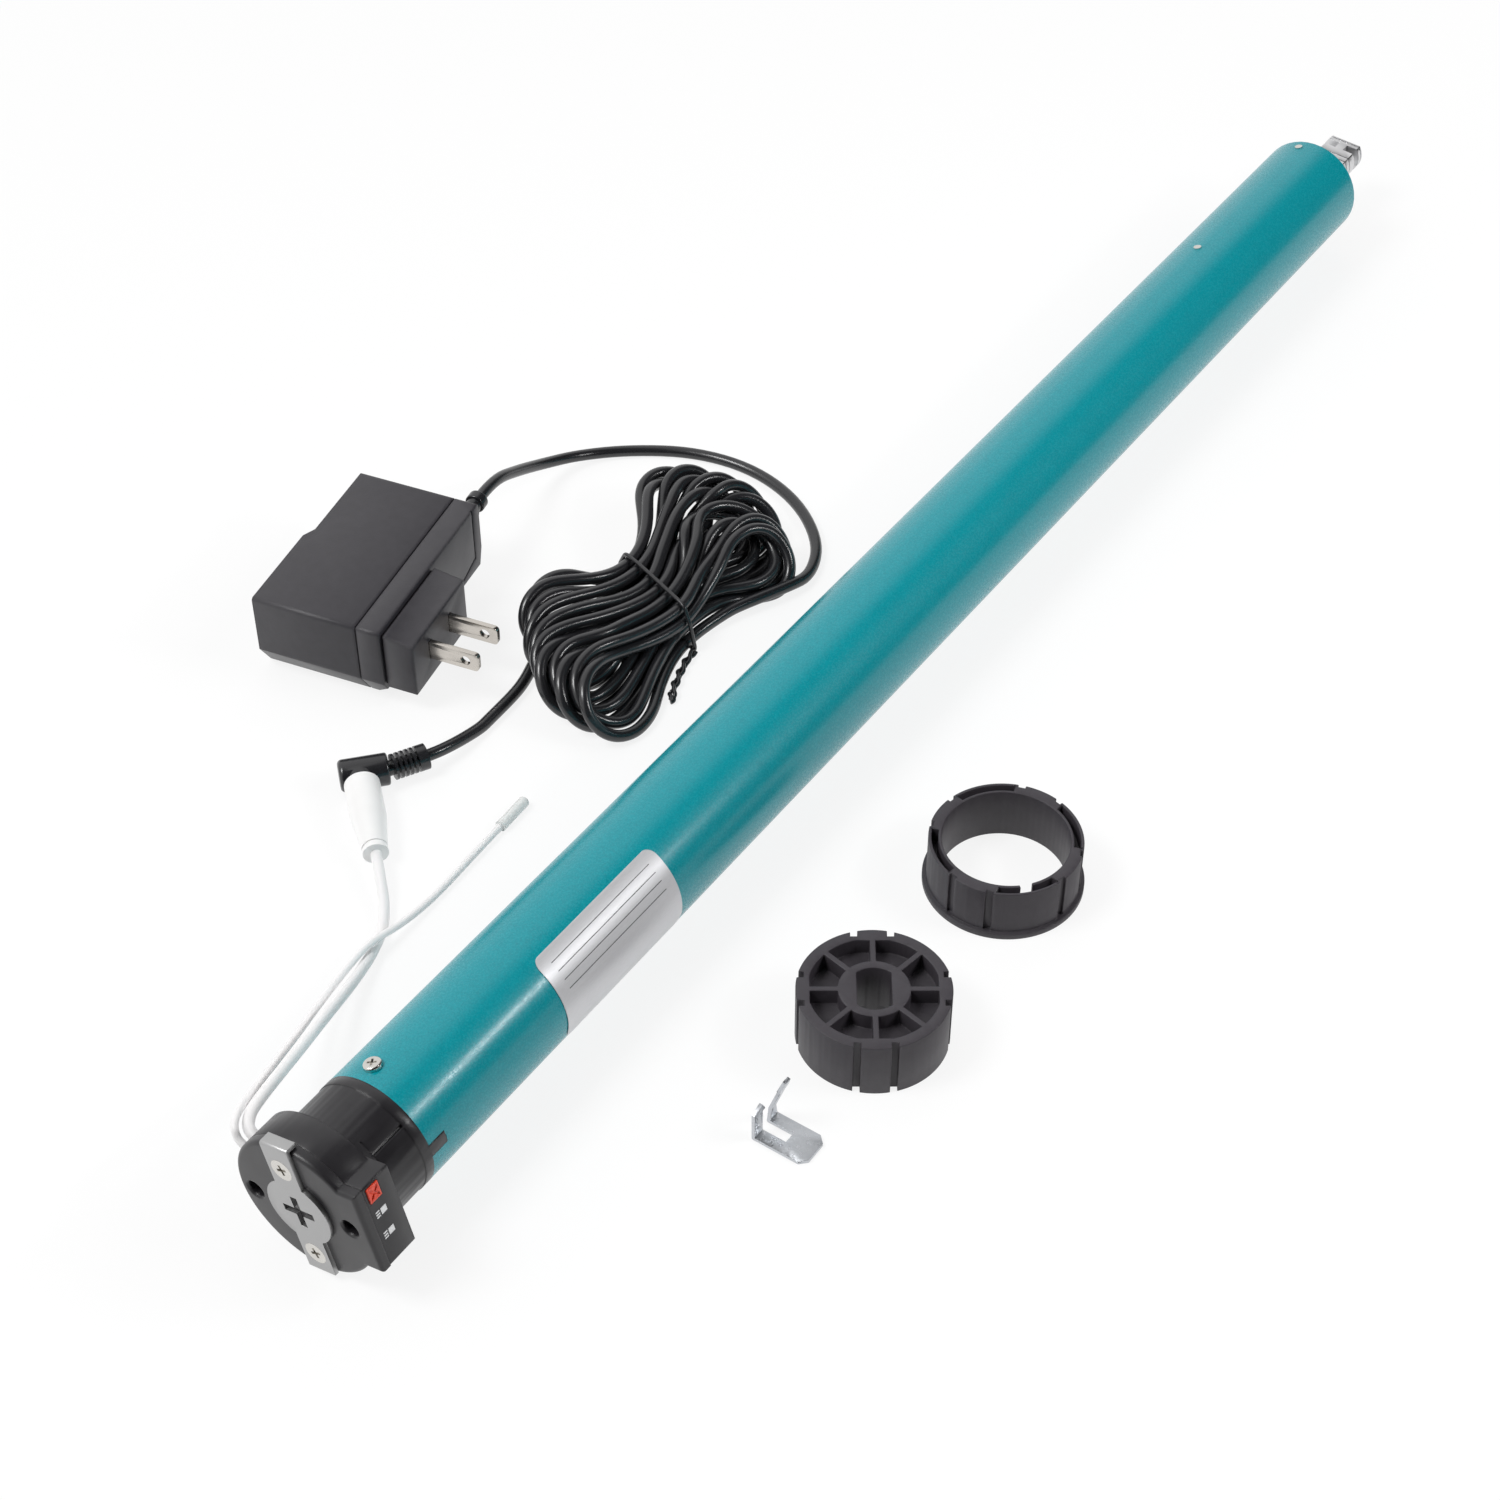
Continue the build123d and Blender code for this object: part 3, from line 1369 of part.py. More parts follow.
def make_adapter():
    """Two shells with a seam, the blades' block, blades, board parts and the lead's strain relief."""
    inner_length = adapter_length - 2 * adapter_wall
    inner_depth = adapter_depth - 2 * adapter_wall
    cavity_low = near_bevel_height
    cavity_height = adapter_height - adapter_wall - cavity_low

    with BuildSketch(adapter_plane(adapter_length / 2, adapter_depth / 2, cavity_low)) as room:
        Rectangle(inner_length, inner_depth)

    relief = adapter_plane(adapter_length, adapter_relief_depth, adapter_relief_height,
                           x_dir=(0, 1, 0), z_dir=(1, 0, 0))
    for name, from_back, to_back in (
        ("adapter_front_shell", 0, adapter_seam),
        ("adapter_back_shell", adapter_seam, adapter_depth + adapter_step_depth),
    ):
        with BuildPart() as shell:
            add(adapter_envelope())
            extrude(room.sketch, amount=cavity_height, mode=Mode.SUBTRACT)
            with BuildSketch(adapter_plane(adapter_length / 2, (from_back + to_back) / 2)):
                Rectangle(2 * adapter_length, to_back - from_back)
            extrude(amount=adapter_height + overrun, mode=Mode.INTERSECT)
            if from_back == 0:
                with BuildSketch(relief):
                    Circle(adapter_relief_neck)
                extrude(amount=-adapter_wall, mode=Mode.SUBTRACT)
                with BuildSketch(adapter_plane(z_dir=(0, -1, 0))):
                    with BuildLine():
                        Polyline(
                            (face_groove_place, adapter_height + overrun),
                            (face_groove_place, face_groove_foot),
                            (face_groove_end, face_groove_end_height),
                            (face_groove_end, face_groove_end_height - face_groove_width),
                            (face_groove_place + face_groove_width, face_groove_foot - face_groove_width),
                            (face_groove_place + face_groove_width, adapter_height + overrun),
                            close=True,
                        )
                    make_face()
                extrude(amount=-face_groove_depth, mode=Mode.SUBTRACT)
                extrude(blade_slots(0), amount=-blade_rooted, mode=Mode.SUBTRACT)
                add(seam_groove(), mode=Mode.SUBTRACT)
        finish(shell, name)

    block_length = plug_block_to - plug_block_from
    block_height = plug_block_top - plug_block_bottom
    with BuildPart() as plug_block:
        with BuildSketch(adapter_plane(back=0, z_dir=(0, -1, 0))):
            with Locations((plug_block_from + block_length / 2, plug_block_bottom + block_height / 2)):
                Rectangle(block_length - 2 * plug_block_undercut, block_height - 2 * plug_block_undercut)
        extrude(amount=plug_block_gap)
        with BuildSketch(adapter_plane(plug_block_from, x_dir=(0, -1, 0), z_dir=(1, 0, 0))):
            with BuildLine():
                Polyline(
                    (plug_block_gap, -plug_block_bottom),
                    (plug_block_reach, -plug_block_bottom),
                    (plug_block_reach, plug_block_slope - plug_block_top),
                    (plug_block_gap, -plug_block_top),
                    close=True,
                )
            make_face()
        extrude(amount=block_length)
        extrude(blade_slots(-plug_block_reach), amount=-plug_block_reach, mode=Mode.SUBTRACT)
    finish(plug_block, "plug_block")

    with BuildPart() as plug_blades:
        for k in range(2):
            with BuildSketch(adapter_plane(blade_first + k * blade_pitch - blade_thickness / 2,
                                           x_dir=(0, -1, 0), z_dir=(1, 0, 0))):
                with Locations(((plug_block_reach + blade_length - blade_rooted) / 2, -blade_middle)):
                    Rectangle(plug_block_reach + blade_length + blade_rooted, blade_width)
                with Locations((plug_block_reach + blade_hole_place, -blade_middle)):
                    Circle(blade_hole_radius, mode=Mode.SUBTRACT)
            extrude(amount=blade_thickness)
        tips = plug_blades.edges().filter_by(
            lambda e: abs((e % 0).dot(adapter_plane().x_dir)) > 1 - running_gap
            and adapter_plane().to_local_coords(e.center()).Y < -plug_block_reach - blade_length + running_gap
        )
        fillet(tips, blade_corner_radius)
    finish(plug_blades, "plug_blades")

    with BuildPart() as adapter_board:
        extrude(room.sketch, amount=adapter_board_thickness)
        aside = transformer_length / 2 + bulk_capacitor_gap + bulk_capacitor_radius
        for along in (adapter_length / 2 - aside, adapter_length / 2 + aside):
            with BuildSketch(adapter_plane(along, transformer_place, cavity_low + adapter_board_thickness)):
                Circle(bulk_capacitor_radius)
            extrude(amount=cavity_height - adapter_board_thickness - face_gap)
    finish(adapter_board, "adapter_board")

    with BuildPart() as adapter_transformer:
        floor_up = cavity_low + adapter_board_thickness
        with BuildSketch(adapter_plane(adapter_length / 2, transformer_place, floor_up)):
            Rectangle(transformer_length, transformer_depth)
        extrude(amount=transformer_height)
        with BuildSketch(adapter_plane(adapter_length / 2, transformer_place, floor_up)):
            Rectangle(transformer_length - 2 * bobbin_lap, transformer_depth + 2 * bobbin_lap)
        extrude(amount=transformer_height - bobbin_lap)
    finish(adapter_transformer, "adapter_transformer")

    with BuildPart() as adapter_relief:
        with BuildSketch(relief.offset(-adapter_wall)):
            Circle(adapter_relief_neck)
        extrude(amount=adapter_wall + adapter_relief_length)
        with BuildSketch(relief):
            Circle(adapter_relief_radius)
        extrude(amount=adapter_relief_collar)
        with BuildSketch(relief.offset(adapter_relief_length - adapter_relief_knob)):
            Circle(adapter_relief_radius)
        extrude(amount=adapter_relief_knob)
        rims = adapter_relief.edges().filter_by(GeomType.CIRCLE).filter_by(
            lambda e: abs(e.radius - adapter_relief_radius) < running_gap
        )
        fillet(rims.sort_by(heading(adapter_plane().x_dir))[1:], adapter_relief_fillet)
    finish(adapter_relief, "adapter_strain_relief")


def blade_slots(back):
    """Sketch of both blades' section at a place behind the blades' face."""
    with BuildSketch(adapter_plane(back=back, z_dir=(0, -1, 0))) as slots:
        with Locations((blade_first, blade_middle), (blade_first + blade_pitch, blade_middle)):
            Rectangle(blade_thickness, blade_width)
    return slots.sketch


# Socket, plug and antenna cap


def make_connectors():
    """White inline socket, the right-angled plug in it with its ribbed relief, and the antenna's cap."""
    socket_z = floor_z + socket_radius
    along = Vector(cosine(socket_turn), sine(socket_turn), 0)
    across = Vector(0, 0, 1)
    socket_foot = Vector(socket_x, socket_y, socket_z)
    small = socket_small_radius
    with BuildPart() as dc_socket:
        with BuildSketch(Plane(origin=socket_foot, x_dir=along, z_dir=across)):
            with BuildLine():
                groove_end = socket_ring_length + socket_groove_length
                Polyline(
                    (0, 0),
                    (0, small),
                    (socket_ring_length, small),
                    (socket_ring_length, small - socket_groove_depth),
                    (groove_end, small - socket_groove_depth),
                    (groove_end, small),
                    (socket_taper_end, socket_radius),
                    (socket_length, socket_radius),
                    (socket_length, barrel_radius),
                    (socket_length - barrel_length, barrel_radius),
                    (socket_length - barrel_length, 0),
                    close=True,
                )
            make_face()
        revolve(axis=Axis(socket_foot, along))
    finish(dc_socket, "dc_socket")

    mouth = Plane(origin=socket_foot + along * socket_length, x_dir=across, z_dir=along)
    with BuildPart() as plug_contacts:
        with BuildSketch(mouth.offset(-barrel_length)):
            Circle(barrel_radius)
            Circle(barrel_bore, mode=Mode.SUBTRACT)
            Circle(socket_pin_radius)
        extrude(amount=barrel_length)
    finish(plug_contacts, "plug_contacts")

    body_dir = Vector(cosine(plug_turn), sine(plug_turn), 0)
    heart = mouth.origin + along * plug_radius
    body = Plane(origin=heart - body_dir * plug_half_length, x_dir=across, z_dir=body_dir)
    tail = heart + body_dir * plug_tail_length
    relief_dir = Vector(cosine(relief_turn), sine(relief_turn), 0)
    with BuildPart() as dc_plug:
        with BuildSketch(body):
            Circle(plug_radius)
        extrude(amount=plug_half_length + plug_tail_length)
        fillet(dc_plug.edges().sort_by(heading(body_dir))[0], plug_end_fillet)
        fillet(dc_plug.edges().sort_by(heading(body_dir))[-1], plug_tail_fillet)
        with BuildSketch(mouth):
            Circle(plug_mouth_radius)
        extrude(amount=plug_radius)
        rib = Plane(origin=tail, x_dir=across, z_dir=relief_dir)
        with BuildSketch(rib.offset(-relief_root)):
            Circle(relief_neck_radius)
        extrude(amount=relief_root + relief_length)
        rings = relief_length - relief_collar_length
        pitch = (rings - relief_ring_clear) / relief_rings
        for k in range(relief_rings):
            with BuildSketch(rib.offset(relief_ring_clear + k * pitch)):
                Circle(relief_radius)
            extrude(amount=pitch * relief_ring_share)
        with BuildSketch(rib.offset(rings)):
            Circle(relief_radius)
        extrude(amount=relief_collar_length)
    finish(dc_plug, "dc_plug")

    cap_dir = Vector(*antenna_route()[-1]) - Vector(*antenna_route()[-2])
    with BuildPart() as antenna_cap:
        with BuildSketch(Plane(origin=antenna_route()[-1], x_dir=across, z_dir=cap_dir)):
            Circle(antenna_cap_radius)
        extrude(amount=antenna_cap_length)
        fillet(antenna_cap.edges().sort_by(Axis.X)[-1], antenna_cap_radius / 2)
    finish(antenna_cap, "antenna_cap")
    relief_end = tail + relief_dir * relief_length
    return relief_end, relief_end + relief_dir * plug_tail_run


# Cords


def lead_start(inset, run=0):
    """Where a white lead meets its grommet, or a run further out."""
    return tuple(lead_plane(inset, flange_radius - grommet_recess + run).origin)


def motor_route():
    """The motor's white lead from the head to its socket."""
    rest = floor_z + motor_lead_diameter / 2
    back = Vector(cosine(socket_turn), sine(socket_turn), 0) * socket_root
    socket_foot = Vector(socket_x, socket_y, floor_z + socket_radius)
    return [
        lead_start(motor_lead_inset),
        lead_start(motor_lead_inset, motor_lead_root),
        (13.1, 26.9, 4.9),
        (20.4, 29.2, 3.4),
        (30.1, 32.3, 0.2),
        (42.5, 36.7, -4.8),
        (58.0, 42.4, -11.0),
        (73.5, 47.3, -16.2),
        (88.0, 51.8, -18.9),
        (99.6, 57.6, rest),
        tuple(socket_foot - back),
        tuple(socket_foot),
    ]


def antenna_route():
    """The antenna wire from the head to its cap."""
    rest = floor_z + antenna_cap_radius
    return [
        lead_start(antenna_inset),
        lead_start(antenna_inset, antenna_root),
        (6.9, 26.0, 6.9),
        (10.4, 28.3, 6.6),
        (16.0, 30.9, 4.4),
        (24.2, 34.2, 0.6),
        (35.5, 38.8, -4.6),
        (49.0, 44.0, -10.2),
        (62.4, 48.8, -14.4),
        (75.1, 51.6, -16.0),
        (86.5, 52.3, -14.9),
        (99.0, 51.3, -18.2),
        (113.0, 51.3, -19.7),
        (128.8, 52.1, rest),
        (144.4, 52.9, rest),
    ]


def hank_knot(quarter):
    """Centreline point and heading of the hank after so many quarter turns."""
    pitch = (cord_diameter + hank_gap) / 4
    climb = cord_diameter + hank_gap
    span = 4 * hank_turns
    total = span * hank_layers
    phase = quarter % (2 * span)
    inset = pitch * (min(phase, 2 * span - phase) - 1)
    layer = sum(min(1, max(0, (quarter - n * span + 1) / 2)) for n in range(1, hank_layers))
    height = floor_z + cord_diameter / 2 + layer * climb
    if quarter >= total:
        inset = -5 * pitch
        height = floor_z + cord_diameter / 2 + (total + 1 - quarter) / 2 * (hank_layers - 1) * climb
    place = quarter % 4
    waist = hank_waist - inset
    length = hank_half_length - inset
    if place % 2 == 0:
        height += hank_lift
    offsets = ((0, -waist), (-length, 0), (0, waist), (length, 0))
    headings = ((-1, 0), (0, 1), (1, 0), (0, -1))
    point = Vector(hank_x + offsets[place][0], hank_y + offsets[place][1], height)
    return point, Vector(*headings[place], 0), inset


def biarc(start, start_dir, end, end_dir, reach):
    """Two tangent arcs in space between two points with headings; reach is the first arc's tangent."""
    span = end - start
    far = (span.dot(span) / 2 - reach * span.dot(start_dir)) / (
        span.dot(end_dir) - reach * (start_dir.dot(end_dir) - 1)
    )
    join = (start + start_dir * reach) * (far / (reach + far)) + (end - end_dir * far) * (
        reach / (reach + far)
    )
    heading = ((end - end_dir * far) - (start + start_dir * reach)).normalized()
    TangentArc(start, join, tangent=start_dir)
    TangentArc(join, end, tangent=heading)


def hank_reaches(inset):
    """Tangent lengths of the end arc and of the waist arc at an inset."""
    end_radius = hank_end_radius - inset
    flat = hank_half_length - hank_end_radius
    waist = hank_waist - inset
    waist_radius = (flat**2 + waist**2 - end_radius**2) / (2 * (end_radius - waist))
    turn = math.atan2(flat, waist + waist_radius)
    return end_radius * math.tan(math.pi / 4 + turn / 2), waist_radius * math.tan(turn / 2)


def make_hank():
    """The tied hank of the adapter's lead as one unbroken tube, and its tie."""
    quarters = 4 * hank_turns * hank_layers + 1
    with BuildPart() as lead_hank:
        with BuildLine() as hank_line:
            first, first_dir, inset = hank_knot(0)
            centre = first - Vector(0, hank_lead_in_radius, 0)
            turn = hank_lead_in_angle
            entry = centre + Vector(sine(turn), cosine(turn), 0) * hank_lead_in_radius
            entry_dir = Vector(-cosine(turn), sine(turn), 0)
            Line(entry - entry_dir * cord_diameter, entry)
            TangentArc(entry, first, tangent=entry_dir)
            for quarter in range(quarters):
                start, start_dir, start_inset = hank_knot(quarter)
                end, end_dir, end_inset = hank_knot(quarter + 1)
                end_reach, waist_reach = hank_reaches((start_inset + end_inset) / 2)
                reach = waist_reach if quarter % 2 == 0 else end_reach
                biarc(start, start_dir, end, end_dir, reach)
            leave = end + Vector(-hank_tail_radius, hank_tail_radius, 0)
            TangentArc(end, leave, tangent=end_dir)
            lead_out = leave - Vector(hank_stub, 0, 0)
            Line(leave, lead_out)
        with BuildSketch(Plane(origin=entry - entry_dir * cord_diameter, z_dir=entry_dir)):
            Circle(cord_diameter / 2)
        sweep()
    finish(lead_hank, "lead_hank")
    samples = hank_line.wire().positions([k / 6000 for k in range(6001)])
    length = hank_line.wire().length
    gap = least_self_gap(samples, length)
    share = lead_hank.part.volume / (length * math.pi * cord_diameter**2 / 4)
    print(f"hank: {len(lead_hank.part.solids())} solid, length {length:.0f} mm, gap {gap:.2f} mm,"
          f" volume share {share:.4f}")

    tie_radius = hank_tie_diameter / 2
    reach = cord_diameter / 2 + tie_slack + tie_radius
    pitch = (cord_diameter + hank_gap) / 4
    outermost = max(-hank_knot(quarter)[2] for quarter in range(quarters + 1))
    low = -(hank_waist + outermost + tie_bulge) / cosine(tie_turn) - reach
    high = (hank_waist + pitch + tie_bulge) / cosine(tie_turn) + reach
    top = floor_z + hank_layers * (cord_diameter + hank_gap) + hank_lift + tie_slack
    across = Vector(-sine(tie_turn), cosine(tie_turn), 0)
    frame = Plane(origin=(hank_x, hank_y, 0), x_dir=across, z_dir=across.cross(Vector(0, 0, 1)))
    with BuildPart() as hank_tie:
        with BuildLine(frame):
            bottom = floor_z + tie_radius
            FilletPolyline(
                (low, bottom), (high, bottom), (high, top), (low, top), close=True, radius=tie_corner_radius
            )
        with BuildSketch(Plane(origin=frame.from_local_coords((0, bottom, 0)), z_dir=across)):
            Circle(tie_radius)
        sweep()
    finish(hank_tie, "hank_tie")
    lead_in = entry - entry_dir * cord_diameter
    return (lead_in - entry_dir * hank_lead_run, lead_in), (lead_out - Vector(hank_tail_run, 0, 0), lead_out)


def least_self_gap(points, length):
    """Least gap between turns of a cord whose centreline is sampled evenly."""
    step = length / (len(points) - 1)
    skip = int(4 * cord_diameter / step)
    cells = {}
    for n, point in enumerate(points):
        key = tuple(int(c // (2 * cord_diameter)) for c in point)
        cells.setdefault(key, []).append(n)
    best = length
    near = [(a, b, c) for a in (-1, 0, 1) for b in (-1, 0, 1) for c in (-1, 0, 1)]
    for (i, j, k), members in cells.items():
        others = [n for a, b, c in near for n in cells.get((i + a, j + b, k + c), ())]
        for m in members:
            for n in others:
                if n > m + skip:
                    best = min(best, (points[m] - points[n]).length)
    return best - cord_diameter


def adapter_route(approach, hank_end):
    """The adapter's lead from its strain relief over the floor to the hank."""
    rest = floor_z + cord_diameter / 2
    outer = adapter_length + adapter_relief_length
    start = adapter_plane(outer, adapter_relief_depth, adapter_relief_height)
    clear = adapter_plane(outer + adapter_lead_root, adapter_relief_depth, adapter_relief_height)
    return [
        tuple(start.origin),
        tuple(clear.origin),
        (262.2, 137.2, -6.4),
        (276.0, 138.2, -13.2),
        (290.3, 135.0, -17.6),
        (303.8, 123.6, rest),
        (314.6, 106.0, rest),
        (318.2, 85.4, rest),
        (312.8, 64.6, rest),
        (299.6, 47.4, rest),
        (285.0, 40.6, rest),
        tuple(approach),
        tuple(hank_end),
    ]


def make_cord(name, route, diameter):
    """A round cord along straight runs joined by arcs as large as the runs allow."""
    points = [Vector(*point) for point in route]
    runs = [b - a for a, b in zip(points, points[1:])]
    radii = []
    for before, after in zip(runs, runs[1:]):
        half = math.radians(before.get_angle(after)) / 2
        radii.append(0.45 * min(before.length, after.length) / math.tan(half))
    with BuildPart() as cord:
        with BuildLine() as line:
            FilletPolyline(*points, radius=radii)
        with BuildSketch(Plane(origin=points[0], z_dir=runs[0])):
            Circle(diameter / 2)
        sweep()
    finish(cord, name)
    share = cord.part.volume / (line.wire().length * math.pi * diameter**2 / 4)
    print(f"{name}: length {line.wire().length:.1f} mm, runs {[round(r.length, 1) for r in runs]},"
          f" radii {[round(r, 1) for r in radii]}, volume share {share:.4f}")


make_bracket_plate()
make_head_cover()
make_head_body()
make_head_inside()
make_tube()
make_screws()
make_electronics()
make_motor()
make_gearbox()
make_output()
make_drive_wheel()
make_crown_ring()
make_retaining_clip()
make_adapter()
relief_end, relief_clear = make_connectors()
(approach, lead_in), (departure, lead_out) = make_hank()
make_cord("motor_lead", motor_route(), motor_lead_diameter)
make_cord("antenna_wire", antenna_route(), antenna_diameter)
make_cord("adapter_lead", adapter_route(approach, lead_in), cord_diameter)
make_cord("lead_tail", [relief_end, relief_clear, departure, lead_out], cord_diameter)
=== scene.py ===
import bmesh
import bpy
import json
import math
import numpy as np
import random
from mathutils import Matrix, Vector


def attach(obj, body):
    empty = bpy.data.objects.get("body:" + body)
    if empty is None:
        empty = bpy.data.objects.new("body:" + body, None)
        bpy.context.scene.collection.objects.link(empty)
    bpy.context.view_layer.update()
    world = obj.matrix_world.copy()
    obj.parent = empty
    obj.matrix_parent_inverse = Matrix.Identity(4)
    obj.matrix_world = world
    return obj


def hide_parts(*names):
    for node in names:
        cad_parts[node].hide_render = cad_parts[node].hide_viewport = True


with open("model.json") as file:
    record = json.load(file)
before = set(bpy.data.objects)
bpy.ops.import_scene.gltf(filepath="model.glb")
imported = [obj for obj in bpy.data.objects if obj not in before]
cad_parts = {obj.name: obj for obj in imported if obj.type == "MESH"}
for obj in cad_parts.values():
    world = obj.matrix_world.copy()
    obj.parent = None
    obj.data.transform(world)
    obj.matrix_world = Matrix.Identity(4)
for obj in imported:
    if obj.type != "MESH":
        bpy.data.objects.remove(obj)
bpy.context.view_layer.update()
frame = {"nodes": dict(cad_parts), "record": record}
nodes = frame["nodes"]

# Sizes and places in metres, in the part's own frame
MM = 0.001
FLOOR_Z = -21 * MM
HEAD_ROLL = math.radians(-14)
TUBE_RADIUS = 17.5 * MM
FLANGE_RADIUS = 21 * MM
PLATE_THICKNESS = 1.2 * MM

# How the solids' faces are joined and where their edges stay sharp
WELD_REACH = 0.002 * MM
CREASE_ANGLE = math.radians(32)
EDGE_SEGMENTS = 2

# White leads: where they leave the head, and their straight start
MOTOR_LEAD_DIAMETER = 3.2 * MM
ANTENNA_DIAMETER = 2.1 * MM
ANTENNA_CAP_RADIUS = 1.7 * MM
LEAD_EXIT_TURN = math.radians(10)
GROMMET_RECESS = 0.4 * MM
MOTOR_LEAD_INSET = 8.1 * MM
MOTOR_LEAD_ROOT = 3.6 * MM
ANTENNA_INSET = 4.55 * MM
ANTENNA_ROOT = 3.4 * MM

# Socket on the motor's lead and the angled plug in it; its place and lengths in millimetres
SOCKET = (113.8, 72.7, -15.8)
SOCKET_TURN = math.radians(48)
SOCKET_LENGTH = 28
SOCKET_ROOT = 7 * MM
PLUG_RADIUS = 4.8
PLUG_TAIL = 8.4
PLUG_TURN = math.radians(-42)
RELIEF_LENGTH = 11.6
RELIEF_TURN = math.radians(-29)
RELIEF_ROOT = 4.9

# Adapter's corner at the height of its strain relief, and the relief's far end, in millimetres
ADAPTER = (166.2, 112.9, 0.8)
ADAPTER_TURN = math.radians(12.06)
ADAPTER_RELIEF_END = 74
ADAPTER_RELIEF_DEPTH = 4.5
ADAPTER_LEAD_ROOT = 10
CORD_DIAMETER = 3.7 * MM

# Hank of the adapter's lead, all in millimetres: its line lies between two heights, and each
# loop crosses the waist twice, the way back above the way there
HANK_TURNS = 13
HANK_CORD = CORD_DIAMETER / MM
HANK_REST = FLOOR_Z / MM + HANK_CORD / 2
HANK_TOP = -3.95
HANK_CROSSING = 3.4
HANK_UPPER = 6.9
HANK_WAIST = (243.0, 69.0)
HANK_WAIST_WIDTH = 30.0
HANK_WAIST_TURN = math.radians(18)
HANK_SEED = 11
HANK_JITTER = 0.4

# The folds: their radius, lean and least height, the tips of each turn's two folds along X, and
# where the rows of folds start and end along Y
HANK_FOLD = 11.0
HANK_FOLD_POINTS = 9
HANK_TILT = math.radians(40)
HANK_CLEAR = 0.2
HANK_LEFT = (188, 190, 188, 190.5, 189, 192, 195, 197, 200, 201, 205, 206, 209)
HANK_RIGHT = (281, 286, 283, 290, 286, 297, 299, 292, 298, 293, 296, 289, 292)
HANK_LEFT_ROW = (57.0, 85.5)
HANK_RIGHT_ROW = (55.5, 86.5)

# Where the lead's run enters the hank, and its tail on the floor towards the plug
HANK_ENTRY = (263.2, 48.6, -16.95)
HANK_ENTRY_RUN = 12.7
HANK_ENTRY_TURN = math.radians(30)
HANK_TAIL = ((247, 84), (212, 86), (192, 83.5), (172.1, 82.5))

# How the hank settles: stages of rounds, the pull back to where it was laid and the least gap
# between lines; the least bend radius; and two round eyes that stay open through the bundle
HANK_STAGES = ((250, 0.012, 3.95), (900, 0.0015, 3.95), (200, 0, 4.15))
HANK_STEP = 2.6
HANK_DENSE = 14
HANK_BEND = 11.3
HANK_BEND_JUMPS = (3, 5, 8, 11)
HANK_BEND_PULL = 0.3
HANK_LENGTH_PULL = 0.4
HANK_SMOOTHING = 0.12
HANK_PUSH_POWER = 0.7
HANK_LOOK_ROUNDS = 5
HANK_LOOK_MARGIN = 2
HANK_NEIGHBOURS = 6
HANK_HELD_START = 5
HANK_HELD_END = 6
HANK_EYES = ((214.5, 71.0), (275.5, 71.0))
HANK_EYE = 4.3
TINY = 1e-6

# Tie round the hank's waist and its two twisted ends, in millimetres
TIE_RADIUS = 0.65
TIE_REACH = HANK_CORD / 2 + TIE_RADIUS + 0.1
TIE_ANGLES = 36
TIE_SLICE = 3
TIE_END = 22.0
TIE_END_STEPS = 22
TIE_END_START = 1
TIE_TWIST = 4.5
TIE_SWING = 1.05
TIE_FLARE = 1.6
TIE_FLARE_START = 0.8
TIE_FLARE_RISE = 5
TIE_ASIDE = 1.4
TIE_MARGIN = 0.3
TIE_LIFT = 2.1
LOW_STRANDS = -13

# Two signs of a square and three bars on the lobe's panel
PANEL_REACH = 22.1 * MM
SIGN_HEIGHTS = (2.9 * MM, -4.0 * MM)
SQUARE_PLACE = 8.2 * MM
SQUARE_SIZE = 1.9 * MM
BAR_PLACE = 6.2 * MM
BAR_LENGTH = 1.3 * MM
BAR_WIDTH = 0.4 * MM
BAR_PITCH = 0.8 * MM
SIGN_THICKNESS = 0.04 * MM

# Rules along the label; the label's start is counted from the tube's near end
LABEL_START = (30.2 + 54.3) * MM
LABEL_LENGTH = 50.2 * MM
LABEL_FACE = TUBE_RADIUS + 0.25 * MM
RULE_DEGREES = (124, 133, 142, 151)
RULE_INSET = 4 * MM
RULE_WIDTH = 0.012
RULE_THICKNESS = 0.03 * MM

# The photograph's camera
CAMERA_PLACE = Vector((-282.8, -326.8, 562.5)) * MM
CAMERA_FORWARD = Vector((0.59067, 0.40624, -0.69719))
CAMERA_RIGHT = Vector((0.56668, -0.82394, 0.0))
CAMERA_LENS = 68.76
CAMERA_SENSOR = 36
CAMERA_CLIP = 0.01

# Floor, world and lamps
WHITE = (1, 1, 1, 1)
FLOOR_COLOR = (0.93, 0.93, 0.93, 1)
FLOOR_GLOW = 0.84
FLOOR_SIZE = 4.0
WORLD_SPAN = (-0.1, 0.22)
WORLD_LEVELS = (0.02, 0.95)
PART_MIDDLE = (0.25, 0, 0)
HEAD_TOP = (0.06, -0.009, 0.015)


def mm(x, y, z):
    """A point given in millimetres."""
    return Vector((x, y, z)) * MM


def direction(turn):
    """Level direction turned from +X towards +Y."""
    return Vector((math.cos(turn), math.sin(turn), 0))


def in_head(x, across, up):
    """A point given in the rolled head: along the motor, across it and up."""
    side = Vector((0, math.cos(HEAD_ROLL), math.sin(HEAD_ROLL)))
    top = Vector((0, -math.sin(HEAD_ROLL), math.cos(HEAD_ROLL)))
    return Vector((x, 0, 0)) + side * across + top * up


def put(name, data):
    """A new object in the scene."""
    made = bpy.data.objects.new(name, data)
    bpy.context.scene.collection.objects.link(made)
    return made


# Materials


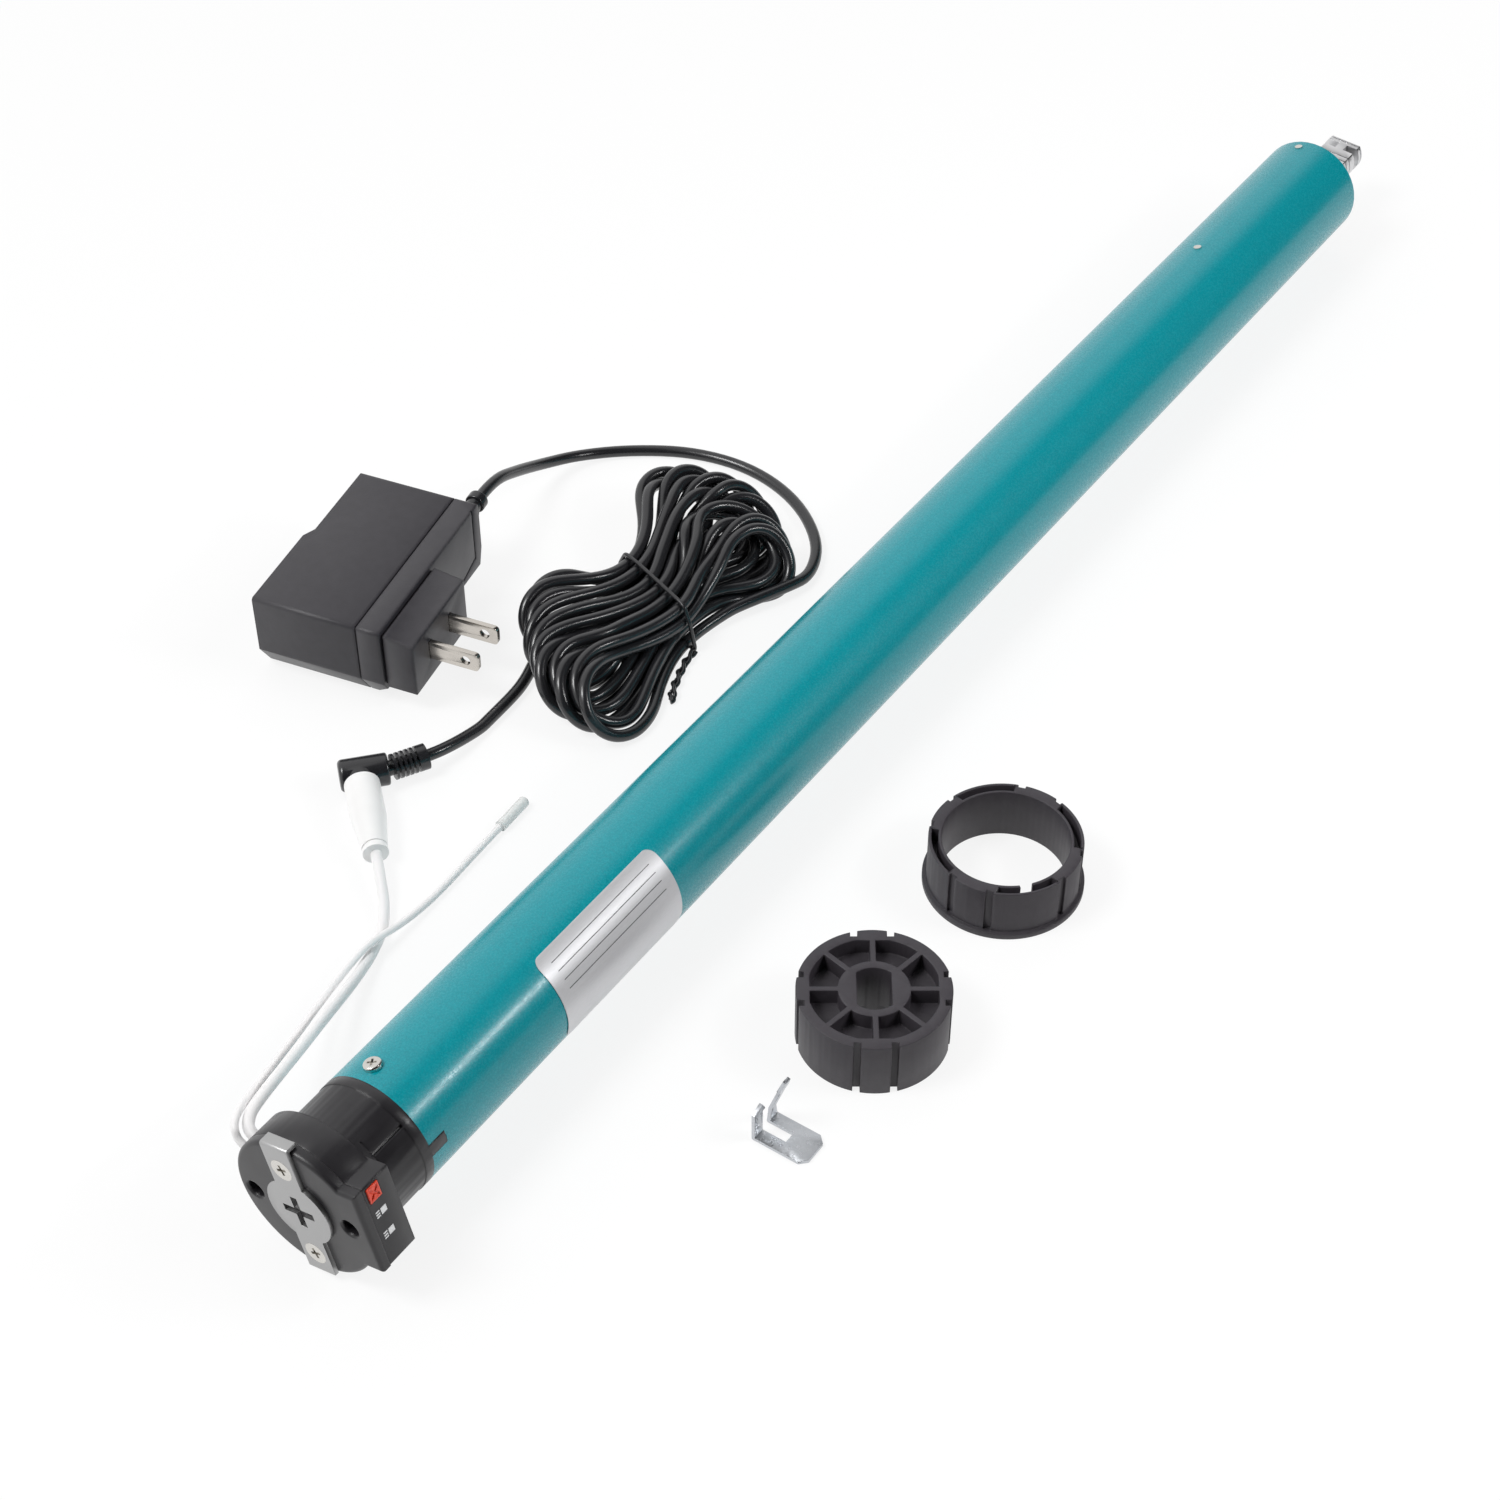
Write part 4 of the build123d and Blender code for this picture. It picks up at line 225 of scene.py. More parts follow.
def material(name, color, roughness, metallic=0.0, **inputs):
    """A Principled material with set values; returns it and its shader."""
    made = bpy.data.materials.new(name)
    made.use_nodes = True
    shader = made.node_tree.nodes["Principled BSDF"]
    shader.inputs["Base Color"].default_value = (*color, 1)
    shader.inputs["Roughness"].default_value = roughness
    shader.inputs["Metallic"].default_value = metallic
    for key, value in inputs.items():
        shader.inputs[key.replace("_", " ")].default_value = value
    return made, shader


def add_node(made, kind, **values):
    """A node of a material or world, with its inputs set by name."""
    node = made.node_tree.nodes.new(kind)
    for key, value in values.items():
        node.inputs[key.replace("_", " ")].default_value = value
    return node


def link(made, output, target):
    """Join an output socket to an input socket."""
    made.node_tree.links.new(output, target)


def coordinates(made, stretch=(1, 1, 1)):
    """Object coordinates, which are metres in the part's frame, stretched along each axis."""
    source = add_node(made, "ShaderNodeTexCoord")
    mapping = add_node(made, "ShaderNodeMapping", Scale=stretch)
    link(made, source.outputs["Object"], mapping.inputs["Vector"])
    return mapping.outputs["Vector"]


def noise(made, grain, detail=3.0, stretch=(1, 1, 1)):
    """Noise whose grains are about this many metres across, from 0 to 1."""
    texture = add_node(made, "ShaderNodeTexNoise", Scale=1 / grain, Detail=detail)
    link(made, coordinates(made, stretch), texture.inputs["Vector"])
    return texture.outputs["Fac"]


def flakes(made, grain):
    """A value from 0 to 1 for each flake, about this many metres across."""
    texture = add_node(made, "ShaderNodeTexVoronoi", Scale=1 / grain)
    link(made, coordinates(made), texture.inputs["Vector"])
    split = add_node(made, "ShaderNodeSeparateColor")
    link(made, texture.outputs["Color"], split.inputs["Color"])
    return split.outputs["Red"]


def tinted(color, gain, lift=0.0):
    """A colour made darker or lighter."""
    return [min(1, gain * c + lift) for c in color]


def vary_color(made, shader, pattern, low, high):
    """Let the colour follow a pattern from 0 to 1, between two colours."""
    ramp = add_node(made, "ShaderNodeValToRGB")
    ramp.color_ramp.elements[0].color = (*low, 1)
    ramp.color_ramp.elements[1].color = (*high, 1)
    link(made, pattern, ramp.inputs["Fac"])
    link(made, ramp.outputs["Color"], shader.inputs["Base Color"])


def vary_sheen(made, shader, pattern, roughness, less, more):
    """Let the roughness follow a pattern from 0 to 1, from less to more than its own value."""
    span = add_node(made, "ShaderNodeMapRange", To_Min=roughness - less, To_Max=roughness + more)
    link(made, pattern, span.inputs["Value"])
    link(made, span.outputs["Result"], shader.inputs["Roughness"])


def roughen(made, shader, height, depth, strength, eased=0.0):
    """Bump a surface by a height texture of this depth, its edges eased by a radius, in metres."""
    bump = add_node(made, "ShaderNodeBump", Strength=strength, Distance=depth)
    if eased:
        bevel = add_node(made, "ShaderNodeBevel", Radius=eased)
        link(made, bevel.outputs["Normal"], bump.inputs["Normal"])
    link(made, height, bump.inputs["Height"])
    link(made, bump.outputs["Normal"], shader.inputs["Normal"])


def moulding(name, color, roughness, grain=0.5 * MM, depth=0.03 * MM, eased=0.4 * MM):
    """Fine-grained plastic with slight changes in its sheen and colour."""
    made, shader = material(name, color, roughness)
    vary_sheen(made, shader, noise(made, 20 * grain), roughness, less=0.06, more=0.08)
    vary_color(made, shader, noise(made, 6 * grain, detail=5.0), color, tinted(color, 1.35, 0.003))
    roughen(made, shader, noise(made, grain, detail=2.0), depth, strength=0.6, eased=eased)
    return made


def teal_paint():
    """Glossy paint with fine flakes in its colour and sheen."""
    roughness = 0.3
    made, shader = material("teal_paint", (0.0, 0.235, 0.28), roughness)
    vary_color(made, shader, flakes(made, 0.3 * MM), (0.0, 0.225, 0.27), (0.003, 0.295, 0.345))
    vary_sheen(made, shader, flakes(made, 0.35 * MM), roughness, less=0.1, more=0.02)
    roughen(made, shader, noise(made, 0.4 * MM, detail=2.0), depth=0.012 * MM, strength=0.5)
    return made


def brushed(name, color, roughness, stretch, grain=0.25 * MM, metallic=1.0):
    """Brushed sheet metal or foil with scratches drawn out along one axis."""
    made, shader = material(name, color, roughness, metallic)
    lines = noise(made, grain, detail=4.0, stretch=stretch)
    vary_sheen(made, shader, lines, roughness, less=0.1, more=0.14)
    vary_color(made, shader, lines, tinted(color, 0.8), color)
    roughen(made, shader, lines, depth=0.01 * MM, strength=0.4)
    return made


def machined(name, color, roughness):
    """Turned or plated metal with a faint stain and fine grain."""
    made, shader = material(name, color, roughness, metallic=1.0)
    vary_sheen(made, shader, noise(made, 2 * MM), roughness, less=0.07, more=0.1)
    vary_color(made, shader, noise(made, 5 * MM), tinted(color, 0.85), color)
    roughen(made, shader, noise(made, 0.2 * MM, detail=2.0), depth=0.006 * MM, strength=0.4)
    return made


def zinc(name, color, roughness):
    """Zinc-plated sheet with its fine spangle."""
    made, shader = material(name, color, roughness, metallic=1.0)
    spangle = flakes(made, 0.5 * MM)
    vary_sheen(made, shader, spangle, roughness, less=0.1, more=0.16)
    vary_color(made, shader, spangle, tinted(color, 0.86), color)
    roughen(made, shader, noise(made, 0.3 * MM, detail=2.0), depth=0.01 * MM, strength=0.5)
    return made


def soft_sheath(name, color, roughness):
    """Extruded jacket of a lead: smooth, with a slight waviness."""
    made, shader = material(name, color, roughness, IOR=1.6)
    vary_sheen(made, shader, noise(made, 6 * MM), roughness, less=0.05, more=0.07)
    vary_color(made, shader, noise(made, 9 * MM), color, tinted(color, 1.08, 0.002))
    roughen(made, shader, noise(made, 2.5 * MM, detail=2.0), depth=0.012 * MM, strength=0.3)
    return made


def plain(name, color, roughness, metallic=0.0):
    """Finish of an inner piece or a mark: its colour with a faint grain."""
    made, shader = material(name, color, roughness, metallic)
    vary_color(made, shader, noise(made, 1 * MM), tinted(color, 0.9), color)
    return made


def clear_sleeve():
    """Clear heat-shrink sleeve."""
    made, shader = material("clear_sleeve", (0.86, 0.87, 0.86), 0.16,
                            Transmission_Weight=0.25, IOR=1.45)
    roughen(made, shader, noise(made, 2 * MM), depth=0.01 * MM, strength=0.3)
    return made


MATERIALS = {
    "head_plastic": moulding("head_plastic", (0.013, 0.012, 0.014), 0.32,
                             grain=0.45 * MM, depth=0.02 * MM, eased=0.7 * MM),
    "dark_nylon": moulding("dark_nylon", (0.032, 0.028, 0.034), 0.5, grain=0.6 * MM),
    "adapter_plastic": moulding("adapter_plastic", (0.027, 0.025, 0.030), 0.38,
                                depth=0.05 * MM, eased=1.6 * MM),
    "bush_nylon": moulding("bush_nylon", (0.02, 0.02, 0.022), 0.5),
    "button_red": moulding("button_red", (0.62, 0.045, 0.015), 0.35, depth=0.01 * MM),
    "teal_paint": teal_paint(),
    "bracket_steel": brushed("bracket_steel", (0.5, 0.5, 0.5), 0.42, (1, 1, 0.1)),
    "label_silver": brushed("label_silver", (0.72, 0.72, 0.74), 0.4, (0.1, 1, 1),
                            grain=0.15 * MM, metallic=0.45),
    "clip_zinc": zinc("clip_zinc", (0.62, 0.64, 0.67), 0.36),
    "screw_steel": machined("screw_steel", (0.72, 0.70, 0.66), 0.22),
    "machined_steel": machined("machined_steel", (0.74, 0.74, 0.75), 0.3),
    "blade_nickel": machined("blade_nickel", (0.66, 0.62, 0.57), 0.24),
    "bearing_bronze": plain("bearing_bronze", (0.55, 0.36, 0.14), 0.4, metallic=1.0),
    "copper": plain("copper", (0.6, 0.23, 0.1), 0.35, metallic=1.0),
    "magnet_dark": plain("magnet_dark", (0.05, 0.05, 0.055), 0.6),
    "board_green": plain("board_green", (0.01, 0.12, 0.05), 0.4),
    "board_dark": plain("board_dark", (0.02, 0.02, 0.02), 0.5),
    "tray_grey": plain("tray_grey", (0.35, 0.36, 0.37), 0.5),
    "damper_rubber": plain("damper_rubber", (0.02, 0.02, 0.02), 0.8),
    "cord_black": soft_sheath("cord_black", (0.013, 0.013, 0.015), 0.24),
    "lead_white": soft_sheath("lead_white", (0.78, 0.77, 0.77), 0.45),
    "socket_white": soft_sheath("socket_white", (0.80, 0.795, 0.79), 0.36),
    "cap_clear": clear_sleeve(),
    "mark_white": plain("mark_white", (0.82, 0.83, 0.84), 0.5),
    "rule_dark": plain("rule_dark", (0.06, 0.065, 0.07), 0.5),
}

# Widths of the bevels on the solids that show one
EDGES = {
    "head_body": 0.3 * MM,
    "adapter_front_shell": 0.35 * MM,
    "adapter_back_shell": 0.35 * MM,
    "plug_block": 0.3 * MM,
    "bracket_plate": 0.12 * MM,
    "drive_wheel": 0.25 * MM,
    "crown_ring": 0.25 * MM,
    "retaining_clip": 0.12 * MM,
    "plug_blades": 0.15 * MM,
    "output_shaft": 0.12 * MM,
    "set_button": 0.1 * MM,
}


def dress(name, material_name, edge):
    """Give a CAD node its material, smooth its curved faces and bevel its edges by a width."""
    piece = nodes[name]
    if not piece.material_slots:
        piece.data.materials.append(None)
    for slot in piece.material_slots:
        slot.material = MATERIALS[material_name]
    piece.data.shade_smooth()
    weld = piece.modifiers.new("weld", "WELD")
    weld.merge_threshold = WELD_REACH
    if edge:
        bevel = piece.modifiers.new("edges", "BEVEL")
        bevel.width = edge
        bevel.segments = EDGE_SEGMENTS
        bevel.limit_method = "ANGLE"
        bevel.angle_limit = CREASE_ANGLE
        bevel.harden_normals = True
    crease = piece.modifiers.new("creases", "EDGE_SPLIT")
    crease.split_angle = CREASE_ANGLE
    crease.use_edge_sharp = False


def dress_nodes():
    """Every CAD node takes the material of its record slot."""
    for part in frame["record"]["subparts"]:
        dress(part["node"], part["material_slot"], EDGES.get(part["node"], 0.0))


# Cords


def round_curve(name, radius, material_name, steps, section_steps):
    """An empty curve with a round section and capped ends."""
    curve = bpy.data.curves.new(name, "CURVE")
    curve.dimensions = "3D"
    curve.resolution_u = steps
    curve.bevel_depth = radius
    curve.bevel_resolution = section_steps
    curve.use_fill_caps = True
    curve.materials.append(MATERIALS[material_name])
    return curve


def add_spline(curve, points, closed=False):
    """A NURBS spline of a curve, with these control points."""
    spline = curve.splines.new("NURBS")
    spline.points.add(len(points) - 1)
    for control, point in zip(spline.points, points):
        control.co = (*point, 1)
    spline.order_u = 3
    spline.use_cyclic_u = closed
    spline.use_endpoint_u = not closed


def make_cord(name, points, diameter, material_name):
    """A round cord on one open spline with these control points."""
    curve = round_curve(name, diameter / 2, material_name, steps=6, section_steps=5)
    add_spline(curve, points)
    cord = put(name, curve)
    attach(cord, "base")
    return cord


def lying(radius):
    """Height in millimetres of the line of a round piece that lies on the floor."""
    return FLOOR_Z / MM + radius / MM


def lead_start(inset, run=0.0):
    """Where a white lead leaves the head, or a run further out."""
    radius = FLANGE_RADIUS - GROMMET_RECESS + run
    return Vector((PLATE_THICKNESS + inset, radius * math.cos(LEAD_EXIT_TURN),
                   radius * math.sin(LEAD_EXIT_TURN)))


def motor_lead_points():
    """Control points of the motor's white lead."""
    socket = mm(*SOCKET)
    return [
        lead_start(MOTOR_LEAD_INSET),
        lead_start(MOTOR_LEAD_INSET, MOTOR_LEAD_ROOT),
        mm(13.1, 26.9, 4.9),
        mm(20.4, 29.2, 3.4),
        mm(30.1, 32.3, 0.2),
        mm(42.5, 36.7, -4.8),
        mm(58.0, 42.4, -11.0),
        mm(73.5, 47.3, -16.2),
        mm(88.0, 51.8, -18.9),
        mm(99.6, 57.6, lying(MOTOR_LEAD_DIAMETER / 2)),
        socket - direction(SOCKET_TURN) * SOCKET_ROOT,
        socket,
    ]


def antenna_points():
    """Control points of the antenna wire."""
    rest = lying(ANTENNA_CAP_RADIUS)
    return [
        lead_start(ANTENNA_INSET),
        lead_start(ANTENNA_INSET, ANTENNA_ROOT),
        mm(6.9, 26.0, 6.9),
        mm(10.4, 28.3, 6.6),
        mm(16.0, 30.9, 4.4),
        mm(24.2, 34.2, 0.6),
        mm(35.5, 38.8, -4.6),
        mm(49.0, 44.0, -10.2),
        mm(62.4, 48.8, -14.4),
        mm(75.1, 51.6, -16.0),
        mm(86.5, 52.3, -14.9),
        mm(99.0, 51.3, -18.2),
        mm(113.0, 51.3, -19.7),
        mm(128.8, 52.1, rest),
        mm(144.4, 52.9, rest),
    ]


def adapter_run_points():
    """Control points of the adapter's lead from its strain relief to the hank."""
    rest = lying(CORD_DIAMETER / 2)
    along = direction(ADAPTER_TURN)
    back = Vector((-math.sin(ADAPTER_TURN), math.cos(ADAPTER_TURN), 0))
    relief = mm(*ADAPTER) + along * ADAPTER_RELIEF_END * MM + back * ADAPTER_RELIEF_DEPTH * MM
    return [
        relief,
        relief + along * ADAPTER_LEAD_ROOT * MM,
        mm(262.2, 137.2, -6.4),
        mm(276.0, 138.2, -13.2),
        mm(290.3, 135.0, -17.6),
        mm(303.8, 123.6, rest),
        mm(314.6, 106.0, rest),
        mm(318.2, 85.4, rest),
        mm(312.8, 64.6, rest),
        mm(299.6, 47.4, rest),
        mm(285.0, 40.6, rest),
    ]


def hank_loops():
    """Points of the hank's loops before they settle, from the lead's run to its tail."""
    chance = random.Random(HANK_SEED)
    across = np.array([0, math.cos(HANK_TILT), math.sin(HANK_TILT)])
    height = HANK_REST + HANK_FOLD * math.sin(HANK_TILT) + HANK_CLEAR
    last = HANK_TURNS - 1
    points = [HANK_ENTRY]
    for turn in range(HANK_TURNS):
        share = turn / last
        sides = ((HANK_LEFT[turn] + HANK_FOLD, -1, HANK_LEFT_ROW),
                 (HANK_RIGHT[turn] - HANK_FOLD, 1, HANK_RIGHT_ROW))
        for side, (middle, way, row) in enumerate(sides):
            offset = ((turn + side / 2 - last / 2) * HANK_WAIST_WIDTH / HANK_TURNS
                      + chance.uniform(-HANK_JITTER, HANK_JITTER))
            points.append((HANK_WAIST[0] + offset * math.tan(HANK_WAIST_TURN), HANK_WAIST[1] + offset,
                           HANK_REST + HANK_CROSSING * (turn % 2) + HANK_UPPER * side))
            centre = np.array([middle, row[0] + (row[1] - row[0]) * share, height])
            for angle in np.linspace(0, math.pi, HANK_FOLD_POINTS):
                points.append(centre - across * HANK_FOLD * math.cos(angle) * (1 - 2 * side)
                              + np.array([way * HANK_FOLD * math.sin(angle), 0, 0]))
    points += [(x, y, HANK_REST) for x, y in HANK_TAIL]
    return np.array(points, float)


def even_steps(points, step):
    """Points at even steps along a smooth line through some points."""
    ends = np.vstack([2 * points[0] - points[1], points, 2 * points[-1] - points[-2]])
    dense = []
    for before, start, end, after in zip(ends, ends[1:], ends[2:], ends[3:]):
        come, own, go = [np.linalg.norm(b - a) ** 0.5
                         for a, b in ((before, start), (start, end), (end, after))]
        leave = (start - before) / come - (end - before) / (come + own) + (end - start) / own
        arrive = (end - start) / own - (after - start) / (own + go) + (after - end) / go
        for t in np.linspace(0, 1, HANK_DENSE, endpoint=False):
            dense.append((2 * t**3 - 3 * t**2 + 1) * start + (t**3 - 2 * t**2 + t) * own * leave
                         + (3 * t**2 - 2 * t**3) * end + (t**3 - t**2) * own * arrive)
    dense = np.array(dense + [points[-1]])
    run = np.concatenate([[0], np.cumsum(np.linalg.norm(np.diff(dense, axis=0), axis=1))])
    places = np.linspace(0, run[-1], int(round(run[-1] / step)) + 1)
    return np.stack([np.interp(places, run, dense[:, axis]) for axis in range(3)], axis=1)


def pull(points, first, second, least, most, share, free):
    """Move pairs of points a share of the way to where they lie between two distances apart."""
    span = points[second] - points[first]
    reach = np.maximum(np.linalg.norm(span, axis=1), TINY)
    move = ((reach - np.clip(reach, least, most)) * share / reach)[:, None] * span
    points[first] += move * free[first, None]
    points[second] -= move * free[second, None]


def settle(points, rounds, keep, gap):
    """Let the cord settle: no overlap, no tight bend, on the floor, and as long as it was."""
    laid = points.copy()
    count = len(points)
    order = np.arange(count)
    free = np.ones(count)
    free[:HANK_HELD_START] = 0
    free[-HANK_HELD_END:] = 0
    step = np.linalg.norm(np.diff(points, axis=0), axis=1).mean()
    apart = order[None, :] - order[:, None] > HANK_NEIGHBOURS
    for number in range(rounds):
        # Strands that come too near push each other away
        if number % HANK_LOOK_ROUNDS == 0:
            square = (points**2).sum(1)
            near = (square[:, None] + square[None, :] - 2 * points @ points.T
                    < (gap + HANK_LOOK_MARGIN) ** 2)
            first, second = np.nonzero(near & apart)
        span = points[second] - points[first]
        reach = np.linalg.norm(span, axis=1)
        touch = reach < gap
        push = ((gap - reach) / 2 / np.maximum(reach, TINY))[touch, None] * span[touch]
        move = np.zeros_like(points)
        hits = np.zeros(count)
        for index, way in ((first[touch], -1), (second[touch], 1)):
            np.add.at(move, index, way * push)
            np.add.at(hits, index, 1)
        points = points + move / np.maximum(hits, 1)[:, None] ** HANK_PUSH_POWER * free[:, None]

        # Bends open to the least radius, and each step goes back to its length
        for jump in HANK_BEND_JUMPS:
            chord = 2 * HANK_BEND * math.sin(min(math.pi / 2, jump * step / 2 / HANK_BEND))
            pull(points, order[:-jump], order[jump:], chord, math.inf, HANK_BEND_PULL, free)
        for start in (0, 1):
            pull(points, order[start:-1:2], order[start + 1:][::2], step, step, HANK_LENGTH_PULL, free)

        # Kinks ease out, the eyes stay open, and the line keeps between its two heights
        bend = np.zeros_like(points)
        bend[1:-1] = (points[:-2] + points[2:]) / 2 - points[1:-1]
        ease = np.zeros_like(points)
        ease[1:-1] = (bend[:-2] + bend[2:]) / 2 - bend[1:-1]
        points = points + ((laid - points) * keep - HANK_SMOOTHING * ease) * free[:, None]
        for eye in HANK_EYES:
            away = points[:, :2] - eye
            reach = np.maximum(np.linalg.norm(away, axis=1), TINY)
            points[:, :2] += (np.maximum(HANK_EYE - reach, 0) / reach / 2)[:, None] * away
        points[:, 2] = np.clip(points[:, 2], HANK_REST, HANK_TOP)
    return points


def settled_hank():
    """Line of the settled hank in millimetres."""
    points = even_steps(hank_loops(), HANK_STEP)
    for rounds, keep, gap in HANK_STAGES:
        points = settle(points, rounds, keep, gap)
    return points


def hank_points(line):
    """Control points of the hank: one before its entry, then every second point of its line."""
    heading = Vector((-math.cos(HANK_ENTRY_TURN), math.sin(HANK_ENTRY_TURN), 0))
    points = [mm(*HANK_ENTRY) - heading * HANK_ENTRY_RUN * MM]
    points += [mm(*point) for point in line[2:-1:2]]
    return points + [mm(*line[-1])]


def outline_round(points):
    """Convex outline of flat points, counterclockwise."""
    ranked = sorted(map(tuple, points))
    halves = []
    for run in (ranked, ranked[::-1]):
        half = []
        for point in run:
            while len(half) > 1 and ((half[-1][0] - half[-2][0]) * (point[1] - half[-2][1])
                                     <= (half[-1][1] - half[-2][1]) * (point[0] - half[-2][0])):
                half.pop()
            half.append(point)
        halves += half[:-1]
    return np.array(halves)


def tie_band(line):
    """Control points of the tie where it is drawn round the hank's waist."""
    along = np.array([math.sin(HANK_WAIST_TURN), math.cos(HANK_WAIST_TURN)])
    middle = np.array(HANK_WAIST)
    flat = line[:, :2] - middle
    near = np.abs(flat[:, 0] * along[1] - flat[:, 1] * along[0]) < TIE_SLICE
    around = outline_round(np.stack([flat[near] @ along, line[near, 2]], axis=1))
    angles = np.linspace(0, 2 * math.pi, TIE_ANGLES + 1)[:-1]
    ring = np.stack([np.cos(angles), np.sin(angles)], axis=1) * TIE_REACH
    band = []
    for offset, z in outline_round((around[:, None, :] + ring[None, :, :]).reshape(-1, 2)):
        place = middle + along * offset
        band.append(mm(place[0], place[1], max(z, FLOOR_Z / MM + TIE_RADIUS)))
    return band


def tie_strand(line, foot, phase):
    """Control points of one end of the tie, twisted on the other beside the hank."""
    strand = []
    for k in range(TIE_END_STEPS + 1):
        share = k / TIE_END_STEPS
        x = foot.x / MM - TIE_END_START - TIE_END * share
        low = (np.abs(line[:, 0] - x) < TIE_SLICE) & (line[:, 2] < LOW_STRANDS)
        beside = line[low, 1].min() - TIE_REACH - TIE_ASIDE * TIE_RADIUS
        angle = phase + share * TIE_TWIST * math.pi
        flare = (TIE_FLARE * max(0, share - TIE_FLARE_START) * TIE_FLARE_RISE
                 * max(0, 1 - share) * TIE_FLARE_RISE)
        swing = TIE_RADIUS * (TIE_SWING + flare)
        strand.append(mm(x, beside + swing * math.cos(angle) - TIE_MARGIN,
                         FLOOR_Z / MM + TIE_LIFT * TIE_RADIUS + swing * math.sin(angle)))
    return strand


def make_tie(line):
    """Thin tie drawn round the hank's waist, its two ends twisted on each other beside it."""
    curve = round_curve("hank_twist_tie", TIE_RADIUS * MM, "cord_black", steps=4, section_steps=3)
    band = tie_band(line)
    foot = min(band, key=lambda point: point.y + point.z)
    add_spline(curve, band, closed=True)
    for phase in (0, math.pi):
        add_spline(curve, tie_strand(line, foot, phase))
    tie = put("hank_twist_tie", curve)
    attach(tie, "base")
    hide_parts("hank_tie")
    return tie


def relief_end():
    """Where the lead enters the plug's relief, and the relief's heading towards the hank."""
    mouth = mm(*SOCKET) + direction(SOCKET_TURN) * SOCKET_LENGTH * MM
    heart = mouth + direction(SOCKET_TURN) * PLUG_RADIUS * MM
    tail = heart + direction(PLUG_TURN) * PLUG_TAIL * MM
    heading = direction(RELIEF_TURN)
    return tail + heading * RELIEF_LENGTH * MM, heading


def make_cords():
    """The white leads and the adapter's lead with its hank."""
    route = motor_lead_points()
    motor = make_cord("white_motor_lead", route, MOTOR_LEAD_DIAMETER, "lead_white")
    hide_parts("motor_lead")

    route = antenna_points()
    antenna = make_cord("white_antenna_wire", route, ANTENNA_DIAMETER, "lead_white")
    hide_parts("antenna_wire")

    end, heading = relief_end()
    line = settled_hank()
    tie = make_tie(line)
    route = adapter_run_points() + hank_points(line) + [end + heading * RELIEF_ROOT * MM, end]
    lead = make_cord("black_adapter_lead", route, CORD_DIAMETER, "cord_black")
    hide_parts("adapter_lead", "lead_hank", "lead_tail")


# Marks


def flat_marks(name, outlines, place, thickness, material_name):
    """Thin raised marks: each outline is a list of points that place turns into the part's frame."""
    work = bmesh.new()
    for outline in outlines:
        low = [work.verts.new(place(u, v, 0)) for u, v in outline]
        high = [work.verts.new(place(u, v, thickness)) for u, v in outline]
        work.faces.new(high)
        work.faces.new(list(reversed(low)))
        for k in range(len(outline)):
            n = (k + 1) % len(outline)
            work.faces.new((low[k], low[n], high[n], high[k]))
    bmesh.ops.recalc_face_normals(work, faces=work.faces)
    mesh = bpy.data.meshes.new(name)
    work.to_mesh(mesh)
    work.free()
    mesh.materials.append(MATERIALS[material_name])
    piece = put(name, mesh)
    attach(piece, "base")


def box_outline(u, v, width, height):
    """Corners of an upright rectangle about a middle."""
    return [(u - width / 2, v - height / 2), (u + width / 2, v - height / 2),
            (u + width / 2, v + height / 2), (u - width / 2, v + height / 2)]


def make_panel_marks():
    """Two plain white signs on the lobe's panel, under the button."""
    def place(u, v, out):
        return in_head(u, -(PANEL_REACH + out), v)

    outlines = []
    for middle in SIGN_HEIGHTS:
        outlines.append(box_outline(SQUARE_PLACE, middle, SQUARE_SIZE, SQUARE_SIZE))
        for step in (-1, 0, 1):
            outlines.append(box_outline(BAR_PLACE, middle + step * BAR_PITCH, BAR_LENGTH, BAR_WIDTH))
    flat_marks("panel_marks", outlines, place, SIGN_THICKNESS, "mark_white")


def make_label_rules():
    """Fine plain rules along the bare label."""
    def place(along, angle, out):
        reach = LABEL_FACE + out
        return Vector((along, reach * math.cos(angle), reach * math.sin(angle)))

    start = LABEL_START + RULE_INSET
    end = LABEL_START + LABEL_LENGTH - RULE_INSET
    outlines = []
    for degrees in RULE_DEGREES:
        angle = math.radians(degrees)
        outlines.append([(start, angle), (end, angle),
                         (end, angle + RULE_WIDTH), (start, angle + RULE_WIDTH)])
    flat_marks("label_rules", outlines, place, RULE_THICKNESS, "rule_dark")


# Surroundings


